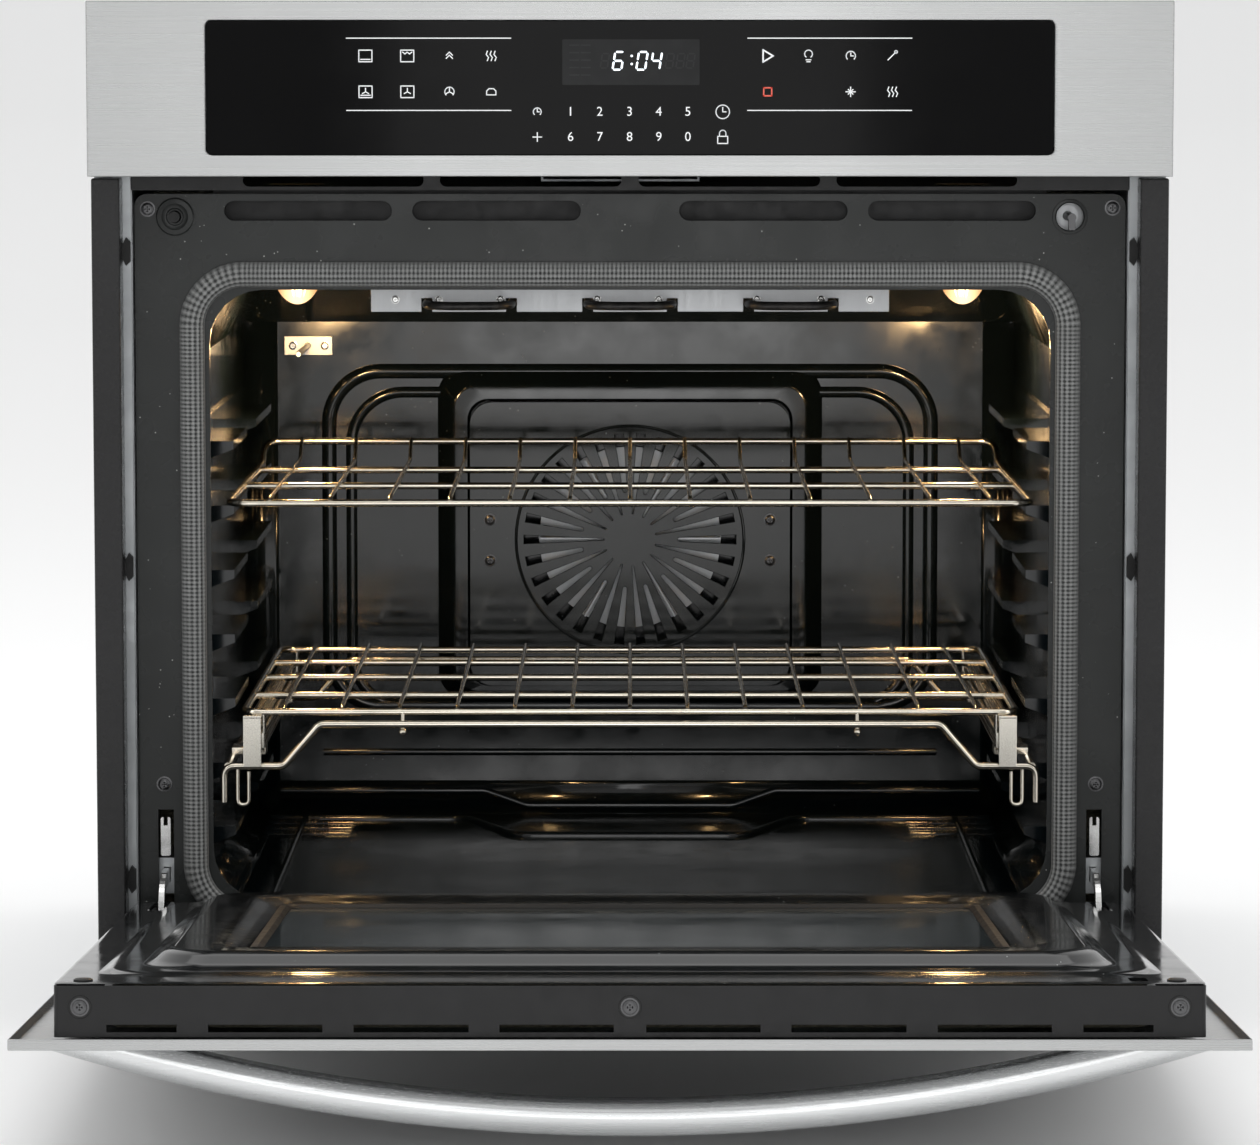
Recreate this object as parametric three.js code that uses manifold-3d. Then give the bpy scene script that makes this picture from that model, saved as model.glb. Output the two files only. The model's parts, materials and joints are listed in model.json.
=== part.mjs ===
// A 30 inch built-in wall oven, modelled with its door open.
// Millimetres. X runs across the oven, Y runs into the wall and Z is up.
// The origin lies on the underside of the chassis base, at mid width, in the plane of the cabinet face.

import * as THREE from "three";
import { mergeVertices } from "three/addons/utils/BufferGeometryUtils.js";
import Module from "manifold-3d";

const wasm = await Module();
wasm.setup();

// ---- driving dimensions ----------------------------------------------------------------------

const GAP = 0.3; // between pieces that touch
const ARC_STEPS = 3; // pairs of straight steps in a rounded corner
const SLOT_STEPS = 2; // pairs of straight steps in a quarter of a slot's round end
const WIRE_SIDES = 6;

const OVEN = { halfWidth: 381, height: 736.6, front: -40 };
const CHASSIS = { halfWidth: 355, sheet: 1.5, front: 1, back: 585, height: 705, lip: -20 };
const PANEL = { bottom: 613.6, back: -2, bottomBack: -13, sheet: 1.2 };
const KEY_GLASS = { halfWidth: 297, bottom: 629.2, top: 722.5, thick: 4, radius: 4 };
const BOARD = { halfWidth: 280, bottom: 635, top: 716, front: -24, thick: 2 };
const DISPLAY = { halfWidth: 50, bottom: 676, top: 711, front: -35, back: -24.5 };

const FRAME = { halfWidth: 353, bottom: 58, top: 600.3, front: 12, thick: 2.5, radius: 9 };
const MOUTH = { halfWidth: 300, bottom: 92, top: 532, radius: 38 };
const VENT = { front: -10, thick: 2, bottom: 603.3, top: 634, slotBottom: 606, slotTop: 615 };
const VENT_SLOTS = [[-274, -146], [-134.5, -6], [6, 134.5], [146, 274]];
const FRAME_SLOTS = [[-289, -169.5], [-155, -35], [35, 155], [169.5, 289]];
const FRAME_SLOT = { bottom: 581.2, top: 595.2 };
const GASKET = { halfWidth: 312.5, bottom: 82, top: 543, radius: 37, halfBreadth: 9.5, height: 8.3 };

const TRIM = { inner: 360, outer: 380, front: -25, back: -1.8, bottom: 68, top: 612, wall: 2 };
const RAIL = { inner: 354, outer: 380, sheet: 1.5, legInner: 355.5, legBack: 30, bottom: 20 };
const RAIL_SCREW = { x: 370, radius: 2.6, heights: [150, 360, 660] };
const KICK = { front: -38, back: -22, top: 38, sheet: 1.5 };

const CAVITY = { halfWidth: 310, floor: 84, wallTop: 483, top: 545, back: 525, wall: 2, hip: 25 };
const CAVITY_FRONT = FRAME.front + FRAME.thick + GAP;
const WRAP = { halfWidth: 345, front: 80, back: 560, bottom: 18, top: 600, clear: 4 };

const GUIDE = { panelInner: 307.5, tip: 287.5, levels: 7, lowest: 138.1, pitch: 47, depth: 14, nose: 6 };
const GUIDE_Z = [104, 436];
const GUIDE_RUNS = [[64, 200], [300, 470]];
const GUIDE_BACK = 480;

const FAN = { z: 308.7, shaftRadius: 4, bladeRadius: 74, front: 503, back: 519, blades: 12 };
const FAN_COVER = { halfWidth: 129, bottom: 190, top: 419.6, front: 495, sheet: 1.5, radius: 18 };
const FAN_SLOTS = { count: 18, inner: 24, outer: 86, innerHalf: 1.6, outerHalf: 7 };
const FAN_MOTOR = { radius: 38, front: 528, back: 572, bore: 4.4 };
const RING_ELEMENT = { radius: 92, tube: 3.2, y: 511 };
const ROD = { radius: 3.2 };
const BROIL = { z: 517, passes: [-149, -87, -31, 31, 87, 149], front: 112, back: 430 };
const BROIL_BAR = { halfWidth: 190, y: 119, sheet: 1.5, bottom: 511, top: 544.5 };
const BAKE = { z: 74, halfWidth: 200, front: 110, back: 430 };
const LAMP = { x: 255, y: 300, dome: 20, flange: 26, hole: 18, housing: 17, top: 575, drop: 508 };
const SENSOR = { left: -280, right: -241, bottom: 456, top: 471.5, probeX: -261, probeFront: 400 };

const HINGE = { x: 334, y: -30, z: 65, openAngle: 86 };
const ARM = { half: 5, thick: 4, boss: 7, bore: 3.4, level: 110, bendY: -8, bendZ: 88, back: 70 };
const LOCK = { half: 3.5, front: 8, back: 11, bottom: 125, top: 153 };
const HINGE_SLOT = { half: 5.5, bottom: 84, top: 158 };
const PIN_RADIUS = 3;

const SWITCH = { x: -323.9, z: 584, radius: 4, tip: 1.5, back: 30, collar: 6 };
const LATCH = { x: 313.2, z: 584, hole: 10, rod: 3, tip: -8, fingerBack: -4, reach: 9, back: 31 };

const DOOR = { halfWidth: 381, bottom: 44, top: 607, skinBack: -33, sheet: 1.2 };
const DOOR_BOX = { halfWidth: 353.5, bottom: 48, top: 600, front: -32.7, back: -0.8, sheet: 1.5 };
const DOOR_WINDOW = { halfWidth: 235, bottom: 190, top: 430, radius: 12 };
const OUTER_GLASS = { halfWidth: 255, bottom: 170, top: 450, front: -38.5, thick: 4 };
const INNER_GLASS = { halfWidth: 245, bottom: 148, top: 476, front: 2.2, thick: 4 };
const PLUG_HEIGHT = 13; // the liner ridge, clear of the racks when the door is shut
const DOOR_SLOTS = [[10, 80], [99, 169.5], [188.7, 258.7], [278, 321]];
const DOOR_SLOT = { front: -29.5, back: -25 };
const DOOR_SCREWS = [-337.3, 0, 337.3];
const DOOR_SCREW = { y: -11, radius: 2.2 };
const HANDLE = { radius: 12, z: 562, halfSpan: 334, reach: 46.5, steps: 20, sides: 12 };
const DOOR_WOOL = { halfWidth: 322, bottom: 60, top: 560, front: -31, back: -3 };
const DOOR_WOOL_HOLE = { halfWidth: 262, bottom: 132, top: 492 };
const CHANNEL = { inner: 5, mid: 6, outer: 6.5, front: -36, back: -3, bottom: 52, top: 260, sheet: 1.5 };
const CHANNEL_WEB_BOTTOM = 122;
const SPRING_CASE = { bottom: 200, top: 258, back: -8 };

const BLOWER = {
  x: 20, y: 400, radius: 84, wheel: 70, bottom: 608, top: 654, sheet: 1.5, mouth: 60,
};
const RELAY_BOARD = { left: -300, right: -160, front: 150, back: 330, bottom: 612, thick: 2 };
const RELAYS = { count: 4, left: -290, right: -265, first: 165, pitch: 38, depth: 25, top: 632 };
const TRANSFORMER = { left: -240, right: -180, front: 180, back: 230, top: 645 };
const TERMINALS = { left: 195, right: 285, front: 520, back: 556, bottom: 606, base: 16, rib: 3 };
const TERMINAL_RIBS = { count: 4, pitch: 29, top: 636 };
const GLAND = { x: 240, z: 655, radius: 12, flange: 17, front: 572, back: 598 };

const WIRE = { frame: 2.6, grid: 1.6 };
const UPPER_RACK = { z: 376, half: 290, front: 50, bars: [203, 355], kick: 405, back: 430, lip: 17 };
const GRID = { count: 13, pitch: 43.4 };
const GLIDE = { z: 226.5, half: 279, front: 30, bars: [130, 243, 340], back: 430, count: 13, pitch: 41.6 };
const BASE = { z: 188, half: 290, front: 23, back: 432, rise: 218.5, kneeOut: 250, kneeIn: 224 };
const SLIDE = { inner: 266, outer: 279, bottom: 196, top: 216, front: 42, back: 424, sheet: 1.5 };

// ---- finishes ----------------------------------------------------------------------------------

function finish(color, roughness, metalness) {
  return new THREE.MeshStandardMaterial({ color, roughness, metalness });
}

const STAINLESS = finish(0xc9cccd, 0.35, 1);
const GALVANISED = finish(0xb4b9ba, 0.45, 1);
const BLACK_GLASS = finish(0x050505, 0.05, 0);
const CLEAR_GLASS = finish(0x2c3234, 0.05, 0);
const ENAMEL = finish(0x2c2e2d, 0.25, 0);
const CAVITY_ENAMEL = finish(0x171c1d, 0.15, 0);
const BLACK_PAINT = finish(0x242424, 0.4, 0);
const ROPE = finish(0x777876, 0.9, 0);
const WOOL = finish(0xd8cfa8, 0.95, 0);
const WIRE_CHROME = finish(0xd8d2c2, 0.2, 1);
const SHEATH = finish(0x3a3a38, 0.5, 1);
const LAMP_GLASS = finish(0xffe2b0, 0.1, 0);
const BOARD_GREEN = finish(0x1f5a35, 0.6, 0);
const BLACK_PLASTIC = finish(0x161616, 0.5, 0);
const MOTOR_STEEL = finish(0x8b8f90, 0.5, 1);

// ---- shapes and solids -------------------------------------------------------------------------

function solid(geometry) {
  const bare = geometry.index ? geometry.clone() : geometry;
  bare.deleteAttribute("normal");
  bare.deleteAttribute("uv");
  const merged = mergeVertices(bare, 1e-4);
  const vertProperties = Float32Array.from(merged.attributes.position.array);
  const triVerts = Uint32Array.from(merged.index.array);
  return new wasm.Manifold(new wasm.Mesh({ numProp: 3, vertProperties, triVerts }));
}

function geometryOf(body) {
  const mesh = body.getMesh();
  const geometry = new THREE.BufferGeometry();
  geometry.setAttribute("position", new THREE.BufferAttribute(mesh.vertProperties, 3));
  geometry.setIndex(new THREE.BufferAttribute(mesh.triVerts, 1));
  return geometry;
}

function union(...parts) {
  return parts.flat().reduce((whole, part) => whole.add(part));
}

function cut(body, ...tools) {
  return tools.flat().reduce((left, tool) => left.subtract(tool), body);
}

function box(x0, x1, y0, y1, z0, z1) {
  const geometry = new THREE.BoxGeometry(x1 - x0, y1 - y0, z1 - z0);
  return solid(geometry.translate((x0 + x1) / 2, (y0 + y1) / 2, (z0 + z1) / 2));
}

// A box on the left (side -1) or the right (side 1), between two distances from the middle.
function sideBox(side, inner, outer, y0, y1, z0, z1) {
  const ends = [side * inner, side * outer].sort((a, b) => a - b);
  return box(ends[0], ends[1], y0, y1, z0, z1);
}

function roundedRect(x0, x1, y0, y1, r) {
  const shape = new THREE.Shape();
  shape.moveTo(x0 + r, y0);
  shape.lineTo(x1 - r, y0);
  shape.absarc(x1 - r, y0 + r, r, -Math.PI / 2, 0);
  shape.lineTo(x1, y1 - r);
  shape.absarc(x1 - r, y1 - r, r, 0, Math.PI / 2);
  shape.lineTo(x0 + r, y1);
  shape.absarc(x0 + r, y1 - r, r, Math.PI / 2, Math.PI);
  shape.lineTo(x0, y0 + r);
  shape.absarc(x0 + r, y0 + r, r, Math.PI, 1.5 * Math.PI);
  return shape;
}

// A plate whose outline lies in X and Z, between two depths.
function plateXZ(shape, y0, y1, curveSegments = ARC_STEPS) {
  const options = { depth: y1 - y0, bevelEnabled: false, curveSegments };
  const geometry = new THREE.ExtrudeGeometry(shape, options);
  return solid(geometry.rotateX(Math.PI / 2).translate(0, y1, 0));
}

// A bar whose section lies in Y and Z, between two widths.
function barX(shape, x0, x1, curveSegments = ARC_STEPS) {
  const options = { depth: x1 - x0, bevelEnabled: false, curveSegments };
  const geometry = new THREE.ExtrudeGeometry(shape, options);
  const axes = new THREE.Matrix4().makeBasis(
    new THREE.Vector3(0, 1, 0),
    new THREE.Vector3(0, 0, 1),
    new THREE.Vector3(1, 0, 0),
  );
  return solid(geometry.applyMatrix4(axes).translate(x0, 0, 0));
}

function slotXZ(x0, x1, z0, z1, y0, y1) {
  const radius = Math.min(x1 - x0, z1 - z0) / 2 - 0.01;
  return plateXZ(roundedRect(x0, x1, z0, z1, radius), y0, y1, SLOT_STEPS);
}

function rod(from, to, radius, sides = WIRE_SIDES) {
  const start = new THREE.Vector3(...from);
  const run = new THREE.Vector3(...to).sub(start);
  const geometry = new THREE.CylinderGeometry(radius, radius, run.length(), sides);
  const turn = new THREE.Quaternion().setFromUnitVectors(
    new THREE.Vector3(0, 1, 0),
    run.clone().normalize(),
  );
  geometry.applyQuaternion(turn);
  const middle = start.add(run.multiplyScalar(0.5));
  return solid(geometry.translate(middle.x, middle.y, middle.z));
}

// A bent wire: straight rods, with a ball at each bend of a thick one.
function bentWire(points, radius) {
  const pieces = [];
  points.slice(1).forEach((point, i) => pieces.push(rod(points[i], point, radius)));
  const bends = radius > WIRE.grid ? points.slice(1, -1) : [];
  bends.forEach((point) => {
    const ball = new THREE.SphereGeometry(radius * 1.04, WIRE_SIDES, 4);
    pieces.push(solid(ball.translate(...point)));
  });
  return union(pieces);
}

function tube(curve, radius, steps, sides) {
  const section = new THREE.Shape();
  for (let i = 0; i < sides; i += 1) {
    const angle = (2 * Math.PI * i) / sides;
    const x = radius * Math.cos(angle);
    const y = radius * Math.sin(angle);
    if (i === 0) section.moveTo(x, y);
    else section.lineTo(x, y);
  }
  return solid(new THREE.ExtrudeGeometry(section, { steps, extrudePath: curve, bevelEnabled: false }));
}

// An arc of tube in a level plane, from one angle to another about a centre.
function levelArc(cx, cy, z, arcRadius, from, to, radius, steps) {
  const points = [];
  for (let i = 0; i <= steps; i += 1) {
    const angle = from + ((to - from) * i) / steps;
    points.push(new THREE.Vector3(cx + arcRadius * Math.cos(angle), cy + arcRadius * Math.sin(angle), z));
  }
  return tube(new THREE.CatmullRomCurve3(points), radius, steps, WIRE_SIDES);
}

// A turned piece about a vertical axis.
function turned(profile, segments, x, y) {
  const points = profile.map(([radius, z]) => new THREE.Vector2(radius, z));
  const geometry = new THREE.LatheGeometry(points, segments).rotateX(Math.PI / 2);
  return solid(geometry.translate(x, y, 0));
}

// A ring swept around a rounded rectangle. Each station is one corner of its section, and states
// the rectangle that this corner follows and its depth y. Points that repeat where a line meets
// an arc are dropped, since they would make triangles with no area.
function rectangularRing(stations, cornerSteps) {
  const loops = stations.map(({ halfWidth, bottom, top, radius }) => {
    const outline = roundedRect(-halfWidth, halfWidth, bottom, top, radius).getPoints(cornerSteps);
    const after = (i) => outline[(i + 1) % outline.length];
    return outline.filter((point, i) => point.distanceTo(after(i)) > 1e-3);
  });
  const count = loops[0].length;
  const positions = [];
  loops.forEach((loop, s) => loop.forEach((p) => positions.push(p.x, stations[s].y, p.y)));
  const indices = [];
  for (let s = 0; s < loops.length; s += 1) {
    const next = (s + 1) % loops.length;
    for (let i = 0; i < count; i += 1) {
      const j = (i + 1) % count;
      const [a, b, c, d] = [s * count + i, s * count + j, next * count + j, next * count + i];
      indices.push(a, b, c, a, c, d);
    }
  }
  const geometry = new THREE.BufferGeometry();
  geometry.setAttribute("position", new THREE.Float32BufferAttribute(positions, 3));
  geometry.setIndex(indices);
  return geometry;
}

function ringSolid(stations, cornerSteps) {
  const forward = solid(rectangularRing(stations, cornerSteps));
  if (forward.volume() > 0) return forward;
  return solid(rectangularRing([...stations].reverse(), cornerSteps));
}

// ---- scene graph -------------------------------------------------------------------------------

const oven = new THREE.Group();
const doorSwing = new THREE.Group();
const door = new THREE.Group();

// The door is drawn shut and swung open about its hinge pins.
doorSwing.position.set(0, HINGE.y, HINGE.z);
doorSwing.rotation.x = THREE.MathUtils.degToRad(HINGE.openAngle);
door.position.set(0, -HINGE.y, -HINGE.z);
doorSwing.add(door);
oven.add(doorSwing);

function add(name, body, material, parent = oven) {
  const mesh = new THREE.Mesh(geometryOf(body), material);
  mesh.name = name;
  parent.add(mesh);
}

const SIDES = [["left", -1], ["right", 1]];

// ---- control panel -----------------------------------------------------------------------------

function controlPanel() {
  const { halfWidth, front, height } = OVEN;
  const s = PANEL.sheet;
  const shell = box(-halfWidth, halfWidth, front, PANEL.back, PANEL.bottom, height);
  const hollow = box(
    -halfWidth + s, halfWidth - s, front + s, PANEL.back + 1, PANEL.bottom + s, height - s,
  );
  const { halfWidth: w, bottom, top, radius } = KEY_GLASS;
  const window = roundedRect(-w - 0.6, w + 0.6, bottom - 0.6, top + 0.6, radius + 0.6);
  const airWay = box(
    -halfWidth + s, halfWidth - s,
    PANEL.bottomBack, PANEL.back + 1,
    PANEL.bottom - 1, PANEL.bottom + 5,
  );
  return cut(shell, hollow, airWay, plateXZ(window, front - 1, front + s + 1));
}

function keyGlass() {
  const { halfWidth, bottom, top, radius, thick } = KEY_GLASS;
  const front = OVEN.front + 0.3;
  return plateXZ(roundedRect(-halfWidth, halfWidth, bottom, top, radius), front, front + thick);
}

function touchBoard() {
  const { halfWidth, bottom, top, front, thick } = BOARD;
  const board = box(-halfWidth, halfWidth, front, front + thick, bottom, top);
  const connectors = [-200, 0, 200].map((x) => (
    box(x - 22, x + 22, front + thick - 0.5, front + thick + 8, bottom + 12, bottom + 24)
  ));
  return union(board, connectors);
}

function displayModule() {
  const { halfWidth, bottom, top, front, back } = DISPLAY;
  return box(-halfWidth, halfWidth, front, back, bottom, top);
}

add("control_panel", controlPanel(), STAINLESS);
add("control_glass", keyGlass(), BLACK_GLASS);
add("display_module", displayModule(), BLACK_PLASTIC);
add("touch_board", touchBoard(), BOARD_GREEN);

// ---- front frame, vent grille and door seal ------------------------------------------------------

function ventGrille() {
  const w = FRAME.halfWidth;
  const upright = box(-w, w, VENT.front, VENT.front + VENT.thick, VENT.bottom, VENT.top);
  const shelf = box(-w, w, VENT.front, FRAME.front, VENT.bottom, VENT.bottom + VENT.thick);
  const slots = VENT_SLOTS.map(([x0, x1]) => (
    slotXZ(x0, x1, VENT.slotBottom, VENT.slotTop, VENT.front - 1, VENT.front + VENT.thick + 1)
  ));
  return cut(union(upright, shelf), slots);
}

function frontFrame() {
  const { halfWidth, bottom, top, front, thick, radius } = FRAME;
  const back = front + thick;
  const sheet = plateXZ(roundedRect(-halfWidth, halfWidth, bottom, top, radius), front, back);
  const through = [front - 1, back + 1];
  const mouth = roundedRect(-MOUTH.halfWidth, MOUTH.halfWidth, MOUTH.bottom, MOUTH.top, MOUTH.radius);
  const cuts = [plateXZ(mouth, ...through)];
  FRAME_SLOTS.forEach(([x0, x1]) => {
    cuts.push(slotXZ(x0, x1, FRAME_SLOT.bottom, FRAME_SLOT.top, ...through));
  });
  SIDES.forEach(([, side]) => {
    const x = side * HINGE.x;
    cuts.push(box(
      x - HINGE_SLOT.half, x + HINGE_SLOT.half, ...through, HINGE_SLOT.bottom, HINGE_SLOT.top,
    ));
  });
  const switchHole = SWITCH.radius + 0.5;
  cuts.push(rod([SWITCH.x, through[0], SWITCH.z], [SWITCH.x, through[1], SWITCH.z], switchHole, 12));
  cuts.push(rod([LATCH.x, through[0], LATCH.z], [LATCH.x, through[1], LATCH.z], LATCH.hole, 16));
  return cut(sheet, cuts);
}

function gasket() {
  const steps = 8;
  const back = FRAME.front - GAP;
  const stations = [];
  for (let i = 0; i <= steps; i += 1) {
    const angle = (Math.PI * i) / steps;
    const out = GASKET.halfBreadth * Math.cos(angle);
    stations.push({
      halfWidth: GASKET.halfWidth + out,
      bottom: GASKET.bottom - out,
      top: GASKET.top + out,
      radius: GASKET.radius + out,
      y: back - GASKET.height * Math.sin(angle),
    });
  }
  return ringSolid(stations, ARC_STEPS);
}

add("vent_grille", ventGrille(), BLACK_PAINT);
add("front_frame", frontFrame(), ENAMEL);
add("gasket", gasket(), ROPE);

// ---- side trims, mounting rails and kick strip ---------------------------------------------------

function sideTrim(side) {
  const { inner, outer, front, back, bottom, top, wall } = TRIM;
  const channel = sideBox(side, inner, outer, front, back, bottom, top);
  return cut(channel, sideBox(side, inner + wall, outer - wall, front + wall, back + 1, bottom - 1, top + 1));
}

function mountingRail(side) {
  const { inner, outer, sheet, legInner, legBack, bottom } = RAIL;
  const flange = sideBox(side, inner, outer, -sheet, 0, bottom, OVEN.height);
  const leg = sideBox(side, legInner, legInner + sheet, -sheet, legBack, bottom, CHASSIS.height);
  const x = side * RAIL_SCREW.x;
  const holes = RAIL_SCREW.heights.map((z) => rod([x, -sheet - 1, z], [x, 1, z], RAIL_SCREW.radius, 12));
  return cut(union(flange, leg), holes);
}

function kickStrip() {
  const { front, back, top, sheet } = KICK;
  const w = OVEN.halfWidth - 1;
  const channel = box(-w, w, front, back, 0, top);
  return cut(channel, box(-w - 1, w + 1, front + sheet, back + 1, sheet, top - sheet));
}

SIDES.forEach(([name, side]) => {
  add(`side_trim_${name}`, sideTrim(side), BLACK_PAINT);
  add(`mounting_rail_${name}`, mountingRail(side), GALVANISED);
});
add("bottom_trim", kickStrip(), STAINLESS);

// ---- chassis -----------------------------------------------------------------------------------


function chassisTop() {
  const { halfWidth, sheet, back, height } = CHASSIS;
  const lid = box(-halfWidth, halfWidth, GAP, back, height - sheet, height);
  const upstandHalf = RAIL.inner - 0.5;
  const upstand = box(-upstandHalf, upstandHalf, -1.4, GAP + 0.2, 640, OVEN.height - GAP);
  return union(lid, upstand);
}

function chassisBack() {
  const { halfWidth, sheet, back, height } = CHASSIS;
  const w = halfWidth - 2;
  const plate = box(-w, w, back - sheet, back, 2, height - 2);
  const hole = rod([GLAND.x, back - 5, GLAND.z], [GLAND.x, back + 5, GLAND.z], GLAND.radius + 0.4, 16);
  return cut(plate, hole);
}

function chassisBase() {
  const { halfWidth, sheet, lip, back } = CHASSIS;
  return box(-halfWidth + 2, halfWidth - 2, lip, back, 0, sheet);
}

SIDES.forEach(([name, side]) => {
  const { halfWidth, sheet, front, back, height } = CHASSIS;
  const sheetSide = sideBox(side, halfWidth - sheet, halfWidth, front, back, 0, height - 2);
  add(`chassis_${name}`, sheetSide, GALVANISED);
});
add("chassis_top", chassisTop(), GALVANISED);
add("chassis_back", chassisBack(), GALVANISED);
add("chassis_base", chassisBase(), GALVANISED);

// ---- oven cavity ---------------------------------------------------------------------------------

// A box whose roof slopes in on both sides and at the back.
function hippedBox(halfWidth, y0, y1, z0, zWall, zTop, hip) {
  const walls = box(-halfWidth, halfWidth, y0, y1, z0, zWall);
  const ends = new THREE.Shape();
  ends.moveTo(-halfWidth, zWall - 1);
  ends.lineTo(halfWidth, zWall - 1);
  ends.lineTo(halfWidth, zWall);
  ends.lineTo(halfWidth - hip, zTop);
  ends.lineTo(-halfWidth + hip, zTop);
  ends.lineTo(-halfWidth, zWall);
  const slope = new THREE.Shape();
  slope.moveTo(y0, zWall - 1);
  slope.lineTo(y1, zWall - 1);
  slope.lineTo(y1, zWall);
  slope.lineTo(y1 - hip, zTop);
  slope.lineTo(y0, zTop);
  const roof = plateXZ(ends, y0, y1).intersect(barX(slope, -halfWidth, halfWidth));
  return union(walls, roof);
}

function cavityLiner() {
  const { halfWidth, floor, wallTop, top, back, wall, hip } = CAVITY;
  const [base, peak] = [floor - wall, top + wall];
  const outer = hippedBox(halfWidth + wall, CAVITY_FRONT, back + wall, base, wallTop, peak, hip);
  const inner = hippedBox(halfWidth, CAVITY_FRONT - 1, back, floor, wallTop, top, hip);
  const holes = [rod([0, back - 5, FAN.z], [0, back + 5, FAN.z], FAN.shaftRadius + 2, 12)];
  SIDES.forEach(([, side]) => {
    const x = side * LAMP.x;
    holes.push(rod([x, LAMP.y, top - 5], [x, LAMP.y, top + 8], LAMP.hole, 16));
  });
  return cut(outer, inner, holes);
}

function insulationWrap() {
  const { halfWidth, front, back, bottom, top, clear } = WRAP;
  const inner = CAVITY.halfWidth + CAVITY.wall + clear;
  const blanket = box(-halfWidth, halfWidth, front, back, bottom, top);
  const ovenSpace = box(-inner, inner, front - 1, CAVITY.back + 5, 62, CAVITY.top + 7);
  const motorSpace = box(-70, 70, CAVITY.back + 4, back + 1, FAN.z - 70, FAN.z + 70);
  const lampSpaces = SIDES.map(([, side]) => (
    rod([side * LAMP.x, LAMP.y, CAVITY.top + 1], [side * LAMP.x, LAMP.y, top + 1], LAMP.hole + 4, 12)
  ));
  return cut(blanket, ovenSpace, motorSpace, lampSpaces);
}

// The side wall panel with its ledges, each in a front and a rear run.
function rackGuide(side) {
  const wallGap = CAVITY.halfWidth - GAP;
  const panel = sideBox(side, GUIDE.panelInner, wallGap, GUIDE_RUNS[0][0], GUIDE_BACK, ...GUIDE_Z);
  const ledges = [];
  for (let level = 0; level < GUIDE.levels; level += 1) {
    const z = GUIDE.lowest + level * GUIDE.pitch;
    GUIDE_RUNS.forEach(([y0, y1]) => {
      const section = new THREE.Shape();
      section.moveTo(side * (GUIDE.panelInner + 0.5), z - GUIDE.depth);
      section.lineTo(side * GUIDE.tip, z - GUIDE.nose);
      section.lineTo(side * GUIDE.tip, z);
      section.lineTo(side * (GUIDE.panelInner + 0.5), z);
      ledges.push(plateXZ(section, y0, y1));
    });
  }
  return union(panel, ledges);
}

add("cavity_liner", cavityLiner(), CAVITY_ENAMEL);
add("insulation_wrap", insulationWrap(), WOOL);
SIDES.forEach(([name, side]) => add(`rack_guide_${name}`, rackGuide(side), CAVITY_ENAMEL));

// ---- convection fan and heating elements -----------------------------------------------------------

function fanCover() {
  const { halfWidth, bottom, top, front, sheet, radius } = FAN_COVER;
  const back = CAVITY.back - GAP;
  const outer = plateXZ(roundedRect(-halfWidth, halfWidth, bottom, top, radius), front, back);
  const inside = roundedRect(
    -halfWidth + sheet, halfWidth - sheet, bottom + sheet, top - sheet, radius - sheet,
  );
  const slots = [];
  for (let i = 0; i < FAN_SLOTS.count; i += 1) {
    const ray = new THREE.Shape();
    ray.moveTo(FAN_SLOTS.inner, -FAN_SLOTS.innerHalf);
    ray.lineTo(FAN_SLOTS.outer, -FAN_SLOTS.outerHalf);
    ray.lineTo(FAN_SLOTS.outer, FAN_SLOTS.outerHalf);
    ray.lineTo(FAN_SLOTS.inner, FAN_SLOTS.innerHalf);
    const geometry = new THREE.ExtrudeGeometry(ray, { depth: sheet + 2, bevelEnabled: false });
    geometry.rotateZ((2 * Math.PI * i) / FAN_SLOTS.count);
    slots.push(solid(geometry.rotateX(Math.PI / 2).translate(0, front + sheet + 1, FAN.z)));
  }
  return cut(outer, plateXZ(inside, front + sheet, back + 1), slots);
}

function convectionFan() {
  const { z, shaftRadius, bladeRadius, front, back, blades } = FAN;
  const hub = rod([0, front, z], [0, back, z], 13, 16);
  const shaft = rod([0, back - 1, z], [0, FAN_MOTOR.front + 16, z], shaftRadius, 12);
  const disc = rod([0, back - 1.5, z], [0, back, z], bladeRadius, 24);
  const vanes = [];
  for (let i = 0; i < blades; i += 1) {
    const vane = new THREE.BoxGeometry(bladeRadius - 12, back - front - 1, 1.4);
    vane.translate((bladeRadius + 10) / 2, 0, 0).rotateY((2 * Math.PI * i) / blades);
    vanes.push(solid(vane.translate(0, (front + back) / 2, z)));
  }
  return union(hub, shaft, disc, vanes);
}

function fanMotor() {
  const { radius, front, back, bore } = FAN_MOTOR;
  const can = rod([0, front + 6, FAN.z], [0, back, FAN.z], radius, 20);
  const bracket = box(-58, 58, front, front + 6.5, FAN.z - 14, FAN.z + 14);
  return cut(union(can, bracket), rod([0, front - 1, FAN.z], [0, front + 18, FAN.z], bore, 12));
}

// Two thirds of a ring around the fan, with its ends bent back through the wall.
function ringElement() {
  const { radius, tube: r, y } = RING_ELEMENT;
  const points = [];
  for (let i = 0; i <= 24; i += 1) {
    const angle = -Math.PI / 2 + 0.12 + ((2 * Math.PI - 0.24) * i) / 24;
    points.push(new THREE.Vector3(radius * Math.cos(angle), y, FAN.z + radius * Math.sin(angle)));
  }
  const ring = tube(new THREE.CatmullRomCurve3(points), r, 36, WIRE_SIDES);
  const legs = [points[0], points[24]].map((p) => (
    rod([p.x, y - 1, p.z], [p.x, CAVITY.back - GAP, p.z], r)
  ));
  return union(ring, legs);
}

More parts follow.
